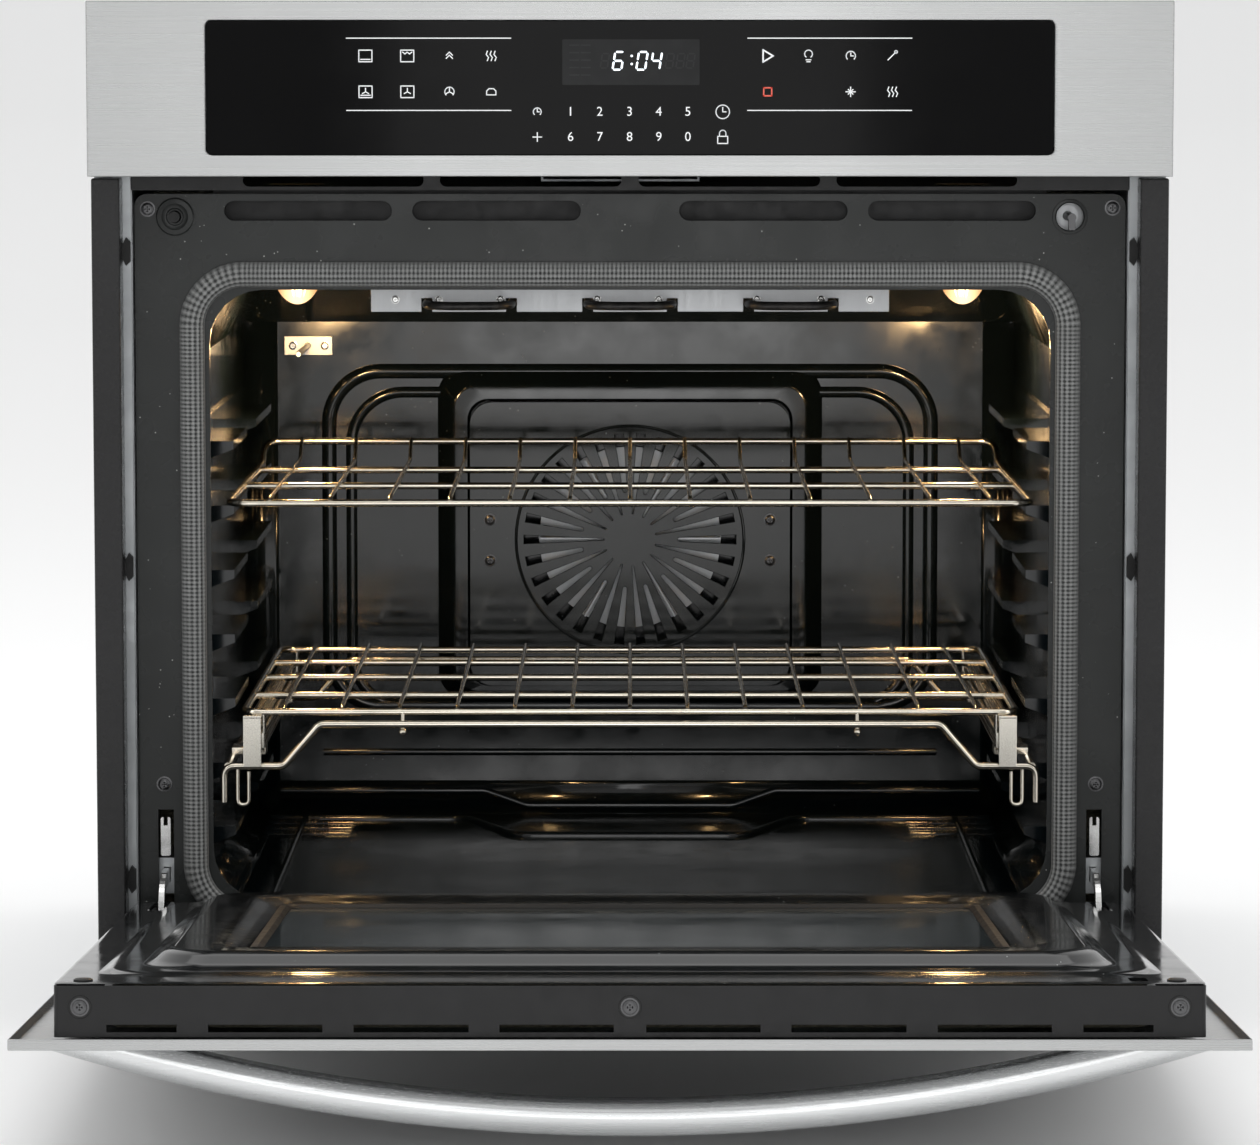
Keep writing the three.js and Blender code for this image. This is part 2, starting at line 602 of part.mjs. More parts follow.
// A level serpentine rod: straight runs joined by half circles at the front and the back in turn.
function serpentine(passes, z, front, back, tailBack) {
  const pieces = [];
  passes.forEach((x, i) => {
    const isEnd = i === 0 || i === passes.length - 1;
    pieces.push(rod([x, front - 0.2, z], [x, isEnd ? tailBack : back + 0.2, z], ROD.radius));
  });
  for (let i = 0; i < passes.length - 1; i += 1) {
    const middle = (passes[i] + passes[i + 1]) / 2;
    const radius = (passes[i + 1] - passes[i]) / 2;
    const atFront = i % 2 === 0;
    const [from, to] = atFront ? [Math.PI, 2 * Math.PI] : [Math.PI, 0];
    pieces.push(levelArc(middle, atFront ? front : back, z, radius, from, to, ROD.radius, 8));
  }
  return union(pieces);
}

function broilBar() {
  const { halfWidth, y, sheet, bottom, top } = BROIL_BAR;
  const plate = box(-halfWidth, halfWidth, y, y + sheet, bottom, top);
  const notches = BROIL.passes.map((x) => (
    box(x - 4, x + 4, y - 1, y + sheet + 1, bottom - 1, BROIL.z + 4)
  ));
  return cut(plate, notches);
}

function lamp(side) {
  const { x, y, dome, flange, housing, top, drop } = LAMP;
  const ceiling = CAVITY.top - GAP;
  const profile = [[0, drop]];
  for (let i = 1; i <= 5; i += 1) {
    const angle = (Math.PI / 2) * (i / 5);
    profile.push([dome * Math.sin(angle), drop + dome * (1 - Math.cos(angle))]);
  }
  profile.push([dome, ceiling - 3], [flange, ceiling - 3], [flange, ceiling]);
  profile.push([housing, ceiling], [housing, top], [0, top]);
  return turned(profile, 16, side * x, y);
}

function temperatureSensor() {
  const { left, right, bottom, top, probeX, probeFront } = SENSOR;
  const back = CAVITY.back - GAP;
  const z = (bottom + top) / 2;
  const plate = box(left, right, back - 1.5, back, bottom, top);
  return union(plate, rod([probeX, probeFront, z], [probeX, back - 1, z], 2.4, 8));
}

add("fan_cover", fanCover(), CAVITY_ENAMEL);
add("convection_fan", convectionFan(), MOTOR_STEEL);
add("fan_motor", fanMotor(), MOTOR_STEEL);
add("convection_element", ringElement(), SHEATH);
const broilEnd = CAVITY.back - GAP - 20;
const broilRod = serpentine(BROIL.passes, BROIL.z, BROIL.front, BROIL.back, broilEnd);
add("broil_element", broilRod, SHEATH);
add("broil_bracket", broilBar(), GALVANISED);
const bakePasses = [-1, -0.6, -0.2, 0.2, 0.6, 1].map((part) => part * BAKE.halfWidth);
add("bake_element", serpentine(bakePasses, BAKE.z, BAKE.front, BAKE.back, BAKE.back + 80), SHEATH);
SIDES.forEach(([name, side]) => add(`lamp_${name}`, lamp(side), LAMP_GLASS));
add("temperature_sensor", temperatureSensor(), GALVANISED);

// ---- cooling blower and electrics --------------------------------------------------------------


function blowerHousing() {
  const { x, y, radius, bottom, top, sheet, mouth } = BLOWER;
  const shell = (shrink) => union(
    rod([x, y, bottom + shrink], [x, y, top - shrink], radius - shrink, 20),
    box(x - radius + shrink, x + 30 - shrink, mouth - (shrink ? 1 : 0), y, bottom + shrink, top - shrink),
  );
  const inlet = rod([x, y, top - 4], [x, y, top + 4], 44, 16);
  return cut(shell(0), shell(sheet), inlet);
}

function blowerWheel() {
  const { x, y, wheel, bottom, top } = BLOWER;
  const [z0, z1] = [bottom + 6, top - 8];
  const disc = rod([x, y, z0], [x, y, z0 + 1.5], wheel, 24);
  const shaft = rod([x, y, z0], [x, y, top + 12], FAN.shaftRadius, 12);
  const vanes = [];
  for (let i = 0; i < 16; i += 1) {
    const vane = new THREE.BoxGeometry(16, 1.4, z1 - z0);
    vane.translate(wheel - 10, 0, 0).rotateZ((2 * Math.PI * i) / 16);
    vanes.push(solid(vane.translate(x, y, (z0 + z1) / 2 + 0.5)));
  }
  return union(disc, shaft, vanes);
}

function blowerMotor() {
  const { x, y, top } = BLOWER;
  const strap = box(x - 60, x + 60, y - 9, y + 9, top + GAP, top + 3);
  const can = rod([x, y, top + 2.5], [x, y, top + 40], 32, 20);
  return cut(union(strap, can), rod([x, y, top - 1], [x, y, top + 14], FAN_MOTOR.bore, 12));
}

function relayBoard() {
  const { left, right, front, back, bottom, thick } = RELAY_BOARD;
  const face = bottom + thick - 0.5;
  const parts = [];
  for (let i = 0; i < RELAYS.count; i += 1) {
    const y = RELAYS.first + i * RELAYS.pitch;
    parts.push(box(RELAYS.left, RELAYS.right, y, y + RELAYS.depth, face, RELAYS.top));
  }
  const coil = TRANSFORMER;
  parts.push(box(coil.left, coil.right, coil.front, coil.back, face, coil.top));
  return union(box(left, right, front, back, bottom, bottom + thick), parts);
}

function terminalBlock() {
  const { left, right, front, back, bottom, base, rib } = TERMINALS;
  const ribs = [];
  for (let i = 0; i < TERMINAL_RIBS.count; i += 1) {
    const x = left + i * TERMINAL_RIBS.pitch;
    ribs.push(box(x, x + rib, front, back, bottom + base - 1, TERMINAL_RIBS.top));
  }
  return union(box(left, right, front, back, bottom, bottom + base), ribs);
}

function cableGland() {
  const { x, z, radius, flange, front, back } = GLAND;
  const body = rod([x, front, z], [x, back, z], radius, 16);
  const collar = rod([x, CHASSIS.back + GAP, z], [x, CHASSIS.back + 5, z], flange, 16);
  return cut(union(body, collar), rod([x, front - 1, z], [x, back + 1, z], 7, 12));
}

add("blower_housing", blowerHousing(), GALVANISED);
add("blower_wheel", blowerWheel(), MOTOR_STEEL);
add("blower_motor", blowerMotor(), MOTOR_STEEL);
add("relay_board", relayBoard(), BOARD_GREEN);
add("terminal_block", terminalBlock(), BLACK_PLASTIC);
add("cable_gland", cableGland(), BLACK_PLASTIC);

// ---- latch, door switch and hinges ---------------------------------------------------------------

function latchMotor() {
  const { x, z, back } = LATCH;
  const gearbox = box(x - 24, x + 24, back + 4, back + 36, z - 20, z + 14);
  const collar = rod([x, back + 1, z], [x, back + 5, z], 8, 12);
  return cut(union(gearbox, collar), rod([x, back, z], [x, back + 14, z], LATCH.rod + 0.5, 12));
}

function latchHook() {
  const { x, z, rod: r, tip, fingerBack, reach, back } = LATCH;
  const spindle = rod([x, tip, z], [x, back + 12, z], r, 12);
  return union(spindle, box(x - 2.4, x + 2.4, tip, fingerBack, z - reach, z));
}

function switchPlunger() {
  const { x, z, radius, tip, back, collar } = SWITCH;
  const stem = rod([x, tip, z], [x, back, z], radius, 12);
  return union(stem, rod([x, back - 3, z], [x, back, z], collar, 12));
}

function hingeArm(side) {
  const { half, thick, boss, bore, level, bendY, bendZ, back } = ARM;
  const bend = level - bendZ;
  const meet = Math.asin(Math.sqrt(boss ** 2 - half ** 2) / boss);
  const outline = new THREE.Shape();
  outline.moveTo(back, level - half);
  outline.lineTo(back, level + half);
  outline.lineTo(bendY, level + half);
  outline.absarc(bendY, bendZ, bend + half, Math.PI / 2, Math.PI);
  outline.absarc(HINGE.y, HINGE.z, boss, Math.PI - meet, 2 * Math.PI + meet);
  outline.lineTo(HINGE.y + half, bendZ);
  outline.absarc(bendY, bendZ, bend - half, Math.PI, Math.PI / 2, true);
  const hole = new THREE.Path();
  hole.absarc(HINGE.y, HINGE.z, bore, 0, 2 * Math.PI);
  outline.holes.push(hole);
  const x = side * HINGE.x;
  return barX(outline, x - thick / 2, x + thick / 2, 6);
}

function hingeReceiver(side) {
  const x = side * HINGE.x;
  const front = FRAME.front + FRAME.thick + 4;
  const { half, thick, level, back } = ARM;
  const block = box(x - 9, x + 9, front, back + 8, level - 14, level + 12);
  const play = thick / 2 + 0.4;
  return cut(block, box(x - play, x + play, front - 1, back + 1, level - half - 0.4, level + half + 0.4));
}

function hingeLock(side) {
  const { half, front, back, bottom, top } = LOCK;
  const x = side * HINGE.x;
  const plate = plateXZ(roundedRect(x - half, x + half, bottom, top, 1.5), front, back);
  const notch = box(x - 1.5, x + 1.5, front - 1, back + 1, top - 6, top + 1);
  return cut(plate, notch);
}

add("latch_motor", latchMotor(), MOTOR_STEEL);
add("latch_hook", latchHook(), MOTOR_STEEL);
add("door_switch_plunger", switchPlunger(), BLACK_PLASTIC);
SIDES.forEach(([name, side]) => {
  add(`hinge_arm_${name}`, hingeArm(side), GALVANISED);
  add(`hinge_receiver_${name}`, hingeReceiver(side), GALVANISED);
  add(`hinge_lock_${name}`, hingeLock(side), GALVANISED);
});

// ---- door, drawn shut ------------------------------------------------------------------------------

function doorSkin() {
  const { halfWidth, bottom, top, skinBack, sheet } = DOOR;
  const front = OVEN.front;
  const pan = box(-halfWidth, halfWidth, front, skinBack, bottom, top);
  const hollow = box(
    -halfWidth + sheet, halfWidth - sheet, front + sheet, skinBack + 1, bottom + sheet, top - sheet,
  );
  const { halfWidth: w, bottom: b, top: t, radius } = DOOR_WINDOW;
  return cut(pan, hollow, plateXZ(roundedRect(-w, w, b, t, radius), front - 1, front + 2));
}

// The sheet box between the skin and the liner, with cooling slots and screw holes in its top.
function doorBox() {
  const { halfWidth, bottom, top, front, back, sheet } = DOOR_BOX;
  const wall = plateXZ(roundedRect(-halfWidth, halfWidth, bottom, top, 3), front, back, 2);
  const inside = roundedRect(
    -halfWidth + sheet, halfWidth - sheet, bottom + sheet, top - sheet, 3 - sheet,
  );
  const cuts = [plateXZ(inside, front - 1, back + 1, 2)];
  SIDES.forEach(([, side]) => DOOR_SLOTS.forEach(([near, far]) => {
    cuts.push(sideBox(side, near, far, DOOR_SLOT.front, DOOR_SLOT.back, top - 3, top + 1));
  }));
  DOOR_SCREWS.forEach((x) => {
    cuts.push(rod([x, DOOR_SCREW.y, top - 4], [x, DOOR_SCREW.y, top + 1], DOOR_SCREW.radius, 8));
  });
  return cut(wall, cuts);
}

function station(halfWidth, bottom, top, radius, y) {
  return { halfWidth, bottom, top, radius, y };
}

// The pressed inner panel: a flat rim, a land for the seal, a raised plug and the window recess.
function doorLiner() {
  const liner = ringSolid([
    station(353.2, 48.3, 599.7, 3, 1),
    station(329, 65, 558, 30, 1),
    station(326, 68, 555, 28, 3),
    station(303, 89, 535, 36, 3),
    station(292, 100, 524, 32, PLUG_HEIGHT),
    station(262, 130, 494, 22, PLUG_HEIGHT),
    station(248, 144, 480, 16, 8),
    station(238, 154, 470, 12, 8),
    station(238, 154, 470, 12, 6.5),
    station(249.2, 142.8, 481.2, 17, 6.5),
    station(263.2, 128.8, 495.2, 23, PLUG_HEIGHT - 1.5),
    station(290.8, 101.2, 522.8, 31, PLUG_HEIGHT - 1.5),
    station(301.8, 90.2, 533.8, 35, 1.5),
    station(324.8, 69.2, 553.8, 27, 1.5),
    station(327.8, 66.2, 556.8, 29, -0.5),
    station(353.2, 48.3, 599.7, 3, -0.5),
  ], ARC_STEPS);
  const cuts = SIDES.map(([, side]) => (
    sideBox(side, HINGE.x - HINGE_SLOT.half, HINGE.x + HINGE_SLOT.half, -3, 6, 52, 119)
  ));
  cuts.push(slotXZ(LATCH.x - 5.5, LATCH.x + 5.5, LATCH.z - 12.5, LATCH.z + 6.5, -3, 4));
  return cut(liner, cuts);
}

function pane({ halfWidth, bottom, top, front, thick }) {
  return box(-halfWidth, halfWidth, front, front + thick, bottom, top);
}

function doorInsulation() {
  const { halfWidth, bottom, top, front, back } = DOOR_WOOL;
  const hole = DOOR_WOOL_HOLE;
  const outer = plateXZ(roundedRect(-halfWidth, halfWidth, bottom, top, 10), front, back, 1);
  const opening = roundedRect(-hole.halfWidth, hole.halfWidth, hole.bottom, hole.top, 8);
  return cut(outer, plateXZ(opening, front - 1, back + 1, 1));
}

// Side walls that hold the hinge pin, joined by a web above the arm's sweep.
function hingeChannel(side) {
  const { x, y, z } = HINGE;
  const { inner, mid, outer, front, back, bottom, top, sheet } = CHANNEL;
  const walls = [
    sideBox(side, x - outer, x - inner, front, back, bottom, top),
    sideBox(side, x + inner, x + outer, front, back, bottom, top),
  ];
  const web = sideBox(side, x - mid, x + mid, front, front + sheet, CHANNEL_WEB_BOTTOM, top);
  const spring = SPRING_CASE;
  const springCase = sideBox(side, x - mid, x + mid, front, spring.back, spring.bottom, spring.top);
  const pin = rod([side * (x - mid), y, z], [side * (x + mid), y, z], PIN_RADIUS, 12);
  return union(walls, web, springCase, pin);
}

// A bowed bar whose ends run into the skin.
function handle() {
  const { radius, z, halfSpan, reach, steps, sides } = HANDLE;
  const bowRadius = (halfSpan ** 2 + reach ** 2) / (2 * reach);
  const half = Math.asin(halfSpan / bowRadius) + 0.03;
  const points = [];
  for (let i = 0; i <= steps; i += 1) {
    const angle = -half + (2 * half * i) / steps;
    const y = OVEN.front - reach + bowRadius * (1 - Math.cos(angle));
    points.push(new THREE.Vector3(bowRadius * Math.sin(angle), y, z));
  }
  const bar = tube(new THREE.CatmullRomCurve3(points), radius, steps, sides);
  return cut(bar, box(-400, 400, OVEN.front - GAP, 50, z - 50, z + 50));
}

add("door_skin", doorSkin(), STAINLESS, door);
add("door_box", doorBox(), BLACK_PAINT, door);
add("door_liner", doorLiner(), CAVITY_ENAMEL, door);
add("outer_glass", pane(OUTER_GLASS), BLACK_GLASS, door);
add("inner_glass", pane(INNER_GLASS), CLEAR_GLASS, door);
add("door_insulation", doorInsulation(), WOOL, door);
add("door_handle", handle(), STAINLESS, door);
SIDES.forEach(([name, side]) => add(`hinge_channel_${name}`, hingeChannel(side), GALVANISED, door));

// ---- racks ---------------------------------------------------------------------------------------

function crossWires(depths, half, z) {
  return depths.map((y) => rod([-half, y, z], [half, y, z], WIRE.frame));
}

// Thin wires laid on the cross wires, kicked up with the raised rear stop.
function upperRack() {
  const { z, half, front, bars, kick, back, lip } = UPPER_RACK;
  const rim = [-half, half].map((x) => [[x, front, z], [x, kick, z], [x, back, z + lip]]);
  const frame = [
    bentWire([[-half, front, z], [half, front, z]], WIRE.frame),
    bentWire([[-half, back, z + lip], [half, back, z + lip]], WIRE.frame),
    ...rim.map((points) => bentWire(points, WIRE.frame)),
    ...crossWires(bars, half, z),
  ];
  const lift = WIRE.frame + WIRE.grid - 0.7;
  const grid = [];
  for (let i = 0; i < GRID.count; i += 1) {
    const x = (i - (GRID.count - 1) / 2) * GRID.pitch;
    grid.push(bentWire(
      [[x, front - 2, z + lift], [x, kick, z + lift], [x, back, z + lip + lift * 0.6]],
      WIRE.grid,
    ));
  }
  return union(frame, grid);
}

// The sliding upper frame of the glide rack, with its inner runners.
function glideRack() {
  const { z, half, front, bars, back, count, pitch } = GLIDE;
  const frame = [
    ...crossWires([front, ...bars, back], half, z),
    ...[-half, half].map((x) => rod([x, front, z], [x, back, z], WIRE.frame)),
  ];
  const lift = WIRE.frame + WIRE.grid - 0.7;
  for (let i = 0; i < count; i += 1) {
    const x = (i - (count - 1) / 2) * pitch;
    frame.push(rod([x, front - 2, z + lift], [x, back + 2, z + lift], WIRE.grid));
  }
  SIDES.forEach(([, side]) => {
    const { inner, outer, bottom, top, back: end, sheet } = SLIDE;
    frame.push(sideBox(side, inner - 2, outer - sheet - 0.5, front - 4, end - 4, bottom + 4, top - 4));
    [front - 3, back - 16].forEach((y) => {
      frame.push(sideBox(side, inner - 2, inner - 0.4, y, y + 20, bottom + 4, z));
    });
    frame.push(sideBox(side, inner, outer, front - 13.5, front - 12, BASE.z - 1, z));
    frame.push(sideBox(side, inner, outer, front - 13.5, front, z - 2, z));
  });
  return union(frame);
}

function glideBase() {
  const { z, half, front, back, rise, kneeOut, kneeIn } = BASE;
  const hump = (y, end) => bentWire([
    [-end, y, z], [-kneeOut, y, z], [-kneeIn, y, rise],
    [kneeIn, y, rise], [kneeOut, y, z], [end, y, z],
  ], WIRE.frame);
  const pieces = [hump(front, half + 3), hump(back, half)];
  SIDES.forEach(([, side]) => {
    const x = side * half;
    pieces.push(rod([x, front, z], [x, back, z], WIRE.frame));
    pieces.push(rod([side * (half + 3), front, z + 2], [side * (half + 3), front, 162], WIRE.frame));
    pieces.push(sideBox(side, 275, 283, front - 1.5, front + 1.5, 158, z));
    [70, 380].forEach((y) => {
      pieces.push(sideBox(side, SLIDE.inner, half + 1, y, y + 24, z + 2, SLIDE.bottom - GAP));
    });
  });
  return union(pieces);
}

function slideRail(side) {
  const { inner, outer, bottom, top, front, back, sheet } = SLIDE;
  const channel = sideBox(side, inner, outer, front, back, bottom, top);
  return cut(channel, sideBox(
    side, inner - 1, outer - sheet, front - 1, back + 1, bottom + sheet, top - sheet,
  ));
}

add("upper_rack", upperRack(), WIRE_CHROME);
add("glide_rack", glideRack(), WIRE_CHROME);
add("glide_base", glideBase(), WIRE_CHROME);
SIDES.forEach(([name, side]) => add(`slide_rail_${name}`, slideRail(side), GALVANISED));

export default oven;
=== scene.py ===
"""A built-in wall oven, door open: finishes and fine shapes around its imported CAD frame.

Lengths named here are millimetres and are turned into metres where geometry is made.
"""

import json
import math

import bmesh
import bpy
from mathutils import Matrix, Vector


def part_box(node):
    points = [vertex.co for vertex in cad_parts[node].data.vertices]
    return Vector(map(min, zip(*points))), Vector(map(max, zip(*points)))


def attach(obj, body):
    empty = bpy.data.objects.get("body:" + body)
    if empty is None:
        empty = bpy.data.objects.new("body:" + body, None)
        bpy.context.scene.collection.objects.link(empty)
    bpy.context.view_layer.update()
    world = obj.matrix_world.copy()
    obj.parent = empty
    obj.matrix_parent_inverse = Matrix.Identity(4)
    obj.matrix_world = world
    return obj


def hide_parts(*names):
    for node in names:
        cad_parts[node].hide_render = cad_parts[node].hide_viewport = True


MM = 0.001
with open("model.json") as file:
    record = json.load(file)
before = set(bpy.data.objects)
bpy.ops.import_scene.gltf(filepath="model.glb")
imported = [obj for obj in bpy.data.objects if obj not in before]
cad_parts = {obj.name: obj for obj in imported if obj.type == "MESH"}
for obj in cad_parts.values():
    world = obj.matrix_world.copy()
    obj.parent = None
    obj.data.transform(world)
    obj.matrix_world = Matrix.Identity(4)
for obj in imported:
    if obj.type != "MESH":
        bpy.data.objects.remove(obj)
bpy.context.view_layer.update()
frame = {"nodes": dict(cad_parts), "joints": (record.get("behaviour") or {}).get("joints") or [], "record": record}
NODES = frame["nodes"]
JOINTS = {joint["name"]: joint for joint in frame["joints"]}


# ---- places read from the frame ----

def box_mm(node):
    low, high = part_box(node)
    return low / MM, high / MM


HINGE = JOINTS["door_hinge"]
HINGE_POINT = Vector(HINGE["pos_m"])
OPEN_ANGLE = math.radians(HINGE["range_deg"][1])
SHUT_TO_OPEN = (
    Matrix.Translation(HINGE_POINT)
    @ Matrix.Rotation(OPEN_ANGLE, 4, "X")
    @ Matrix.Translation(-HINGE_POINT)
)
OPEN_TO_SHUT = SHUT_TO_OPEN.inverted()


def shut_box(node):
    """A door node's corners in millimetres, as if the door were shut."""
    points = [OPEN_TO_SHUT @ v.co / MM for v in NODES[node].data.vertices]
    low = Vector([min(p[i] for p in points) for i in range(3)])
    high = Vector([max(p[i] for p in points) for i in range(3)])
    return low, high


PANEL_LOW, PANEL_HIGH = box_mm("control_panel")
GLASS_FRONT = box_mm("control_glass")[0].y
FACE_FRONT = box_mm("front_frame")[0].y
CAVITY_LOW, CAVITY_HIGH = box_mm("cavity_liner")
CAVITY_WALL = 2.0
BACK_WALL = CAVITY_HIGH.y - CAVITY_WALL
SIDE_WALL = CAVITY_HIGH.x - CAVITY_WALL
FLOOR = CAVITY_LOW.z + CAVITY_WALL
COVER_LOW, COVER_HIGH = box_mm("fan_cover")
GASKET_HALF_BREADTH = 9.5
GASKET_RADIUS = 37.0
FAN_Z = JOINTS["convection_fan_spin"]["pos_m"][2] / MM


# ---- camera, lights and floor ----

CAMERA_BACK = 3740.0
CAMERA_HEIGHT = PANEL_HIGH.z - 34.0
CAMERA_TILT = math.radians(5.62)
LENS = 151.9


def add_object(name, data):
    item = bpy.data.objects.new(name, data)
    bpy.context.scene.collection.objects.link(item)
    return item


def make_camera():
    camera = add_object("camera", bpy.data.cameras.new("camera"))
    camera.data.lens = LENS
    camera.data.sensor_width = 36.0
    camera.location = Vector((0.0, PANEL_LOW.y - CAMERA_BACK, CAMERA_HEIGHT)) * MM
    camera.rotation_euler = (math.pi / 2 - CAMERA_TILT, 0.0, 0.0)
    bpy.context.scene.camera = camera


def soft_light(name, place, target, size, power):
    """A rectangular lamp, placed and sized in metres."""
    lamp = bpy.data.lights.new(name, "AREA")
    lamp.shape = "RECTANGLE"
    lamp.size, lamp.size_y = size
    lamp.energy = power
    holder = add_object(name, lamp)
    holder.location = place
    direction = Vector(target) - Vector(place)
    holder.rotation_euler = direction.to_track_quat("-Z", "Y").to_euler()


def make_lights():
    soft_light("key_centre", (0.0, -6.2, 1.3), (0, 0, 0.5), (0.9, 3.8), 24)
    soft_light("key_left", (-3.6, -3.2, 2.8), (0, 0, 0.35), (1.4, 2.2), 26)
    soft_light("key_right", (3.6, -3.2, 2.8), (0, 0, 0.35), (1.4, 2.2), 26)
    soft_light("top", (0.0, 0.2, 3.4), (0, 0, 0), (3.0, 3.0), 34)
    for side, name in ((-1, "left"), (1, "right")):
        make_lamp_glow(side, name)


def make_lamp_glow(side, name):
    """The warm light of an oven lamp, just below its dome."""
    low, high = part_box(f"lamp_{name}")
    glow = bpy.data.lights.new(f"lamp_glow_{name}", "POINT")
    glow.energy = 1.5
    glow.color = (1.0, 0.62, 0.27)
    glow.shadow_soft_size = 0.012
    middle = (low + high) / 2
    holder = add_object(f"lamp_glow_{name}", glow)
    holder.location = (middle.x - side * 0.004, middle.y - 0.03, low.z - 0.022)


def map_range(tree, value, low, high, from_low, from_high):
    node = tree.nodes.new("ShaderNodeMapRange")
    ends = {"From Min": from_low, "From Max": from_high, "To Min": low, "To Max": high}
    for name, number in ends.items():
        node.inputs[name].default_value = number
    tree.links.new(value, node.inputs["Value"])
    return node.outputs["Result"]


WORLD_DIM = (0.25, 0.255, 0.26, 1)
WORLD_BRIGHT = (1.0, 1.0, 1.0, 1)
WORLD_BRIGHT_FROM = 0.62


def make_world():
    """Dim on the side that the oven faces, bright behind it and overhead."""
    world = bpy.data.worlds.new("studio")
    bpy.context.scene.world = world
    world.use_nodes = True
    tree = world.node_tree
    coords = tree.nodes.new("ShaderNodeTexCoord")
    split = tree.nodes.new("ShaderNodeSeparateXYZ")
    tree.links.new(coords.outputs["Generated"], split.inputs[0])
    behind = map_range(tree, split.outputs["Y"], 0.0, 1.0, -1.0, 1.0)
    overhead = map_range(tree, split.outputs["Z"], 0.0, 0.6, 0.3, 0.8)
    brighter = tree.nodes.new("ShaderNodeMath")
    brighter.operation = "MAXIMUM"
    tree.links.new(behind, brighter.inputs[0])
    tree.links.new(overhead, brighter.inputs[1])
    ramp = tree.nodes.new("ShaderNodeValToRGB")
    tree.links.new(brighter.outputs[0], ramp.inputs[0])
    dim, bright = ramp.color_ramp.elements
    dim.position, dim.color = 0.0, WORLD_DIM
    bright.position, bright.color = WORLD_BRIGHT_FROM, WORLD_BRIGHT
    tree.links.new(ramp.outputs[0], tree.nodes["Background"].inputs["Color"])


# Radius and height of the floor's rings, in metres.
FLOOR_PROFILE = ((0.02, 0.0), (6.0, 0.0), (9.0, 0.05), (11.5, 0.5), (13.0, 1.4), (13.8, 2.6))


def make_floor():
    """A wide round floor that curves up at its far rim, so no horizon shows."""
    bm = bmesh.new()
    steps = 96
    loops = [
        [(r * math.cos(a) / MM, r * math.sin(a) / MM, z / MM - 0.5) for a in turn(steps)]
        for r, z in FLOOR_PROFILE
    ]
    add_loops(bm, loops, caps=False)
    bm.faces.new(list(bm.verts)[:steps])
    bmesh.ops.recalc_face_normals(bm, faces=bm.faces)
    mesh = mesh_from(bm, "floor")
    floor = add_object("floor", mesh)
    paint = Shader("floor_paint", (0.95, 0.95, 0.95), roughness=0.8)
    paint.bump(paint.noise(40.0, detail=3.0), 0.03, 0.2)
    mesh.materials.append(paint.material)


# ---- materials ----

class Shader:
    """A Principled material in object coordinates, with short calls for its patterns."""

    def __init__(self, name, color, roughness=0.5, metallic=0.0, **sockets):
        self.material = bpy.data.materials.new(name)
        self.material.use_nodes = True
        self.tree = self.material.node_tree
        self.bsdf = self.tree.nodes["Principled BSDF"]
        self.set("Base Color", (*color, 1.0))
        self.set("Roughness", roughness)
        self.set("Metallic", metallic)
        for socket, value in sockets.items():
            self.set(socket.replace("_", " "), value)
        self.coords = self.tree.nodes.new("ShaderNodeTexCoord")

    def set(self, socket, value):
        self.bsdf.inputs[socket].default_value = value

    def link(self, output, node_input):
        self.tree.links.new(output, node_input)

    def mapped(self, scale):
        mapping = self.tree.nodes.new("ShaderNodeMapping")
        mapping.inputs["Scale"].default_value = scale
        self.link(self.coords.outputs["Object"], mapping.inputs["Vector"])
        return mapping.outputs["Vector"]

    def noise(self, scale, detail=2.0, stretch=(1, 1, 1), roughness=0.55):
        node = self.tree.nodes.new("ShaderNodeTexNoise")
        node.inputs["Scale"].default_value = scale
        node.inputs["Detail"].default_value = detail
        node.inputs["Roughness"].default_value = roughness
        self.link(self.mapped(stretch), node.inputs["Vector"])
        return node.outputs["Fac"]

    def cells(self, scale, output="Distance"):
        node = self.tree.nodes.new("ShaderNodeTexVoronoi")
        node.inputs["Scale"].default_value = scale
        self.link(self.mapped((1, 1, 1)), node.inputs["Vector"])
        return node.outputs[output]

    def spread(self, value, low, high, from_low=0.3, from_high=0.7):
        return map_range(self.tree, value, low, high, from_low, from_high)

    def math(self, kind, a, b):
        node = self.tree.nodes.new("ShaderNodeMath")
        node.operation = kind
        for slot, value in zip(node.inputs, (a, b)):
            if isinstance(value, (int, float)):
                slot.default_value = value
            else:
                self.link(value, slot)
        return node.outputs[0]

    def mix(self, factor, low, high):
        node = self.tree.nodes.new("ShaderNodeMix")
        node.data_type = "RGBA"
        self.link(factor, node.inputs["Factor"])
        for socket, color in ((6, low), (7, high)):
            if isinstance(color, tuple):
                node.inputs[socket].default_value = (*color, 1.0)
            else:
                self.link(color, node.inputs[socket])
        return node.outputs[2]

    def tinted(self, factor, color, low, high):
        """One colour, between two strengths of it."""
        dark, pale = (tuple(c * strength for c in color) for strength in (low, high))
        return self.mix(self.spread(factor, 0.0, 1.0), dark, pale)

    def color(self, output):
        self.link(output, self.bsdf.inputs["Base Color"])

    def roughness(self, output):
        self.link(output, self.bsdf.inputs["Roughness"])

    def bump(self, height, strength, distance_mm):
        node = self.tree.nodes.new("ShaderNodeBump")
        node.inputs["Strength"].default_value = strength
        node.inputs["Distance"].default_value = distance_mm * MM
        self.link(height, node.inputs["Height"])
        self.link(node.outputs["Normal"], self.bsdf.inputs["Normal"])


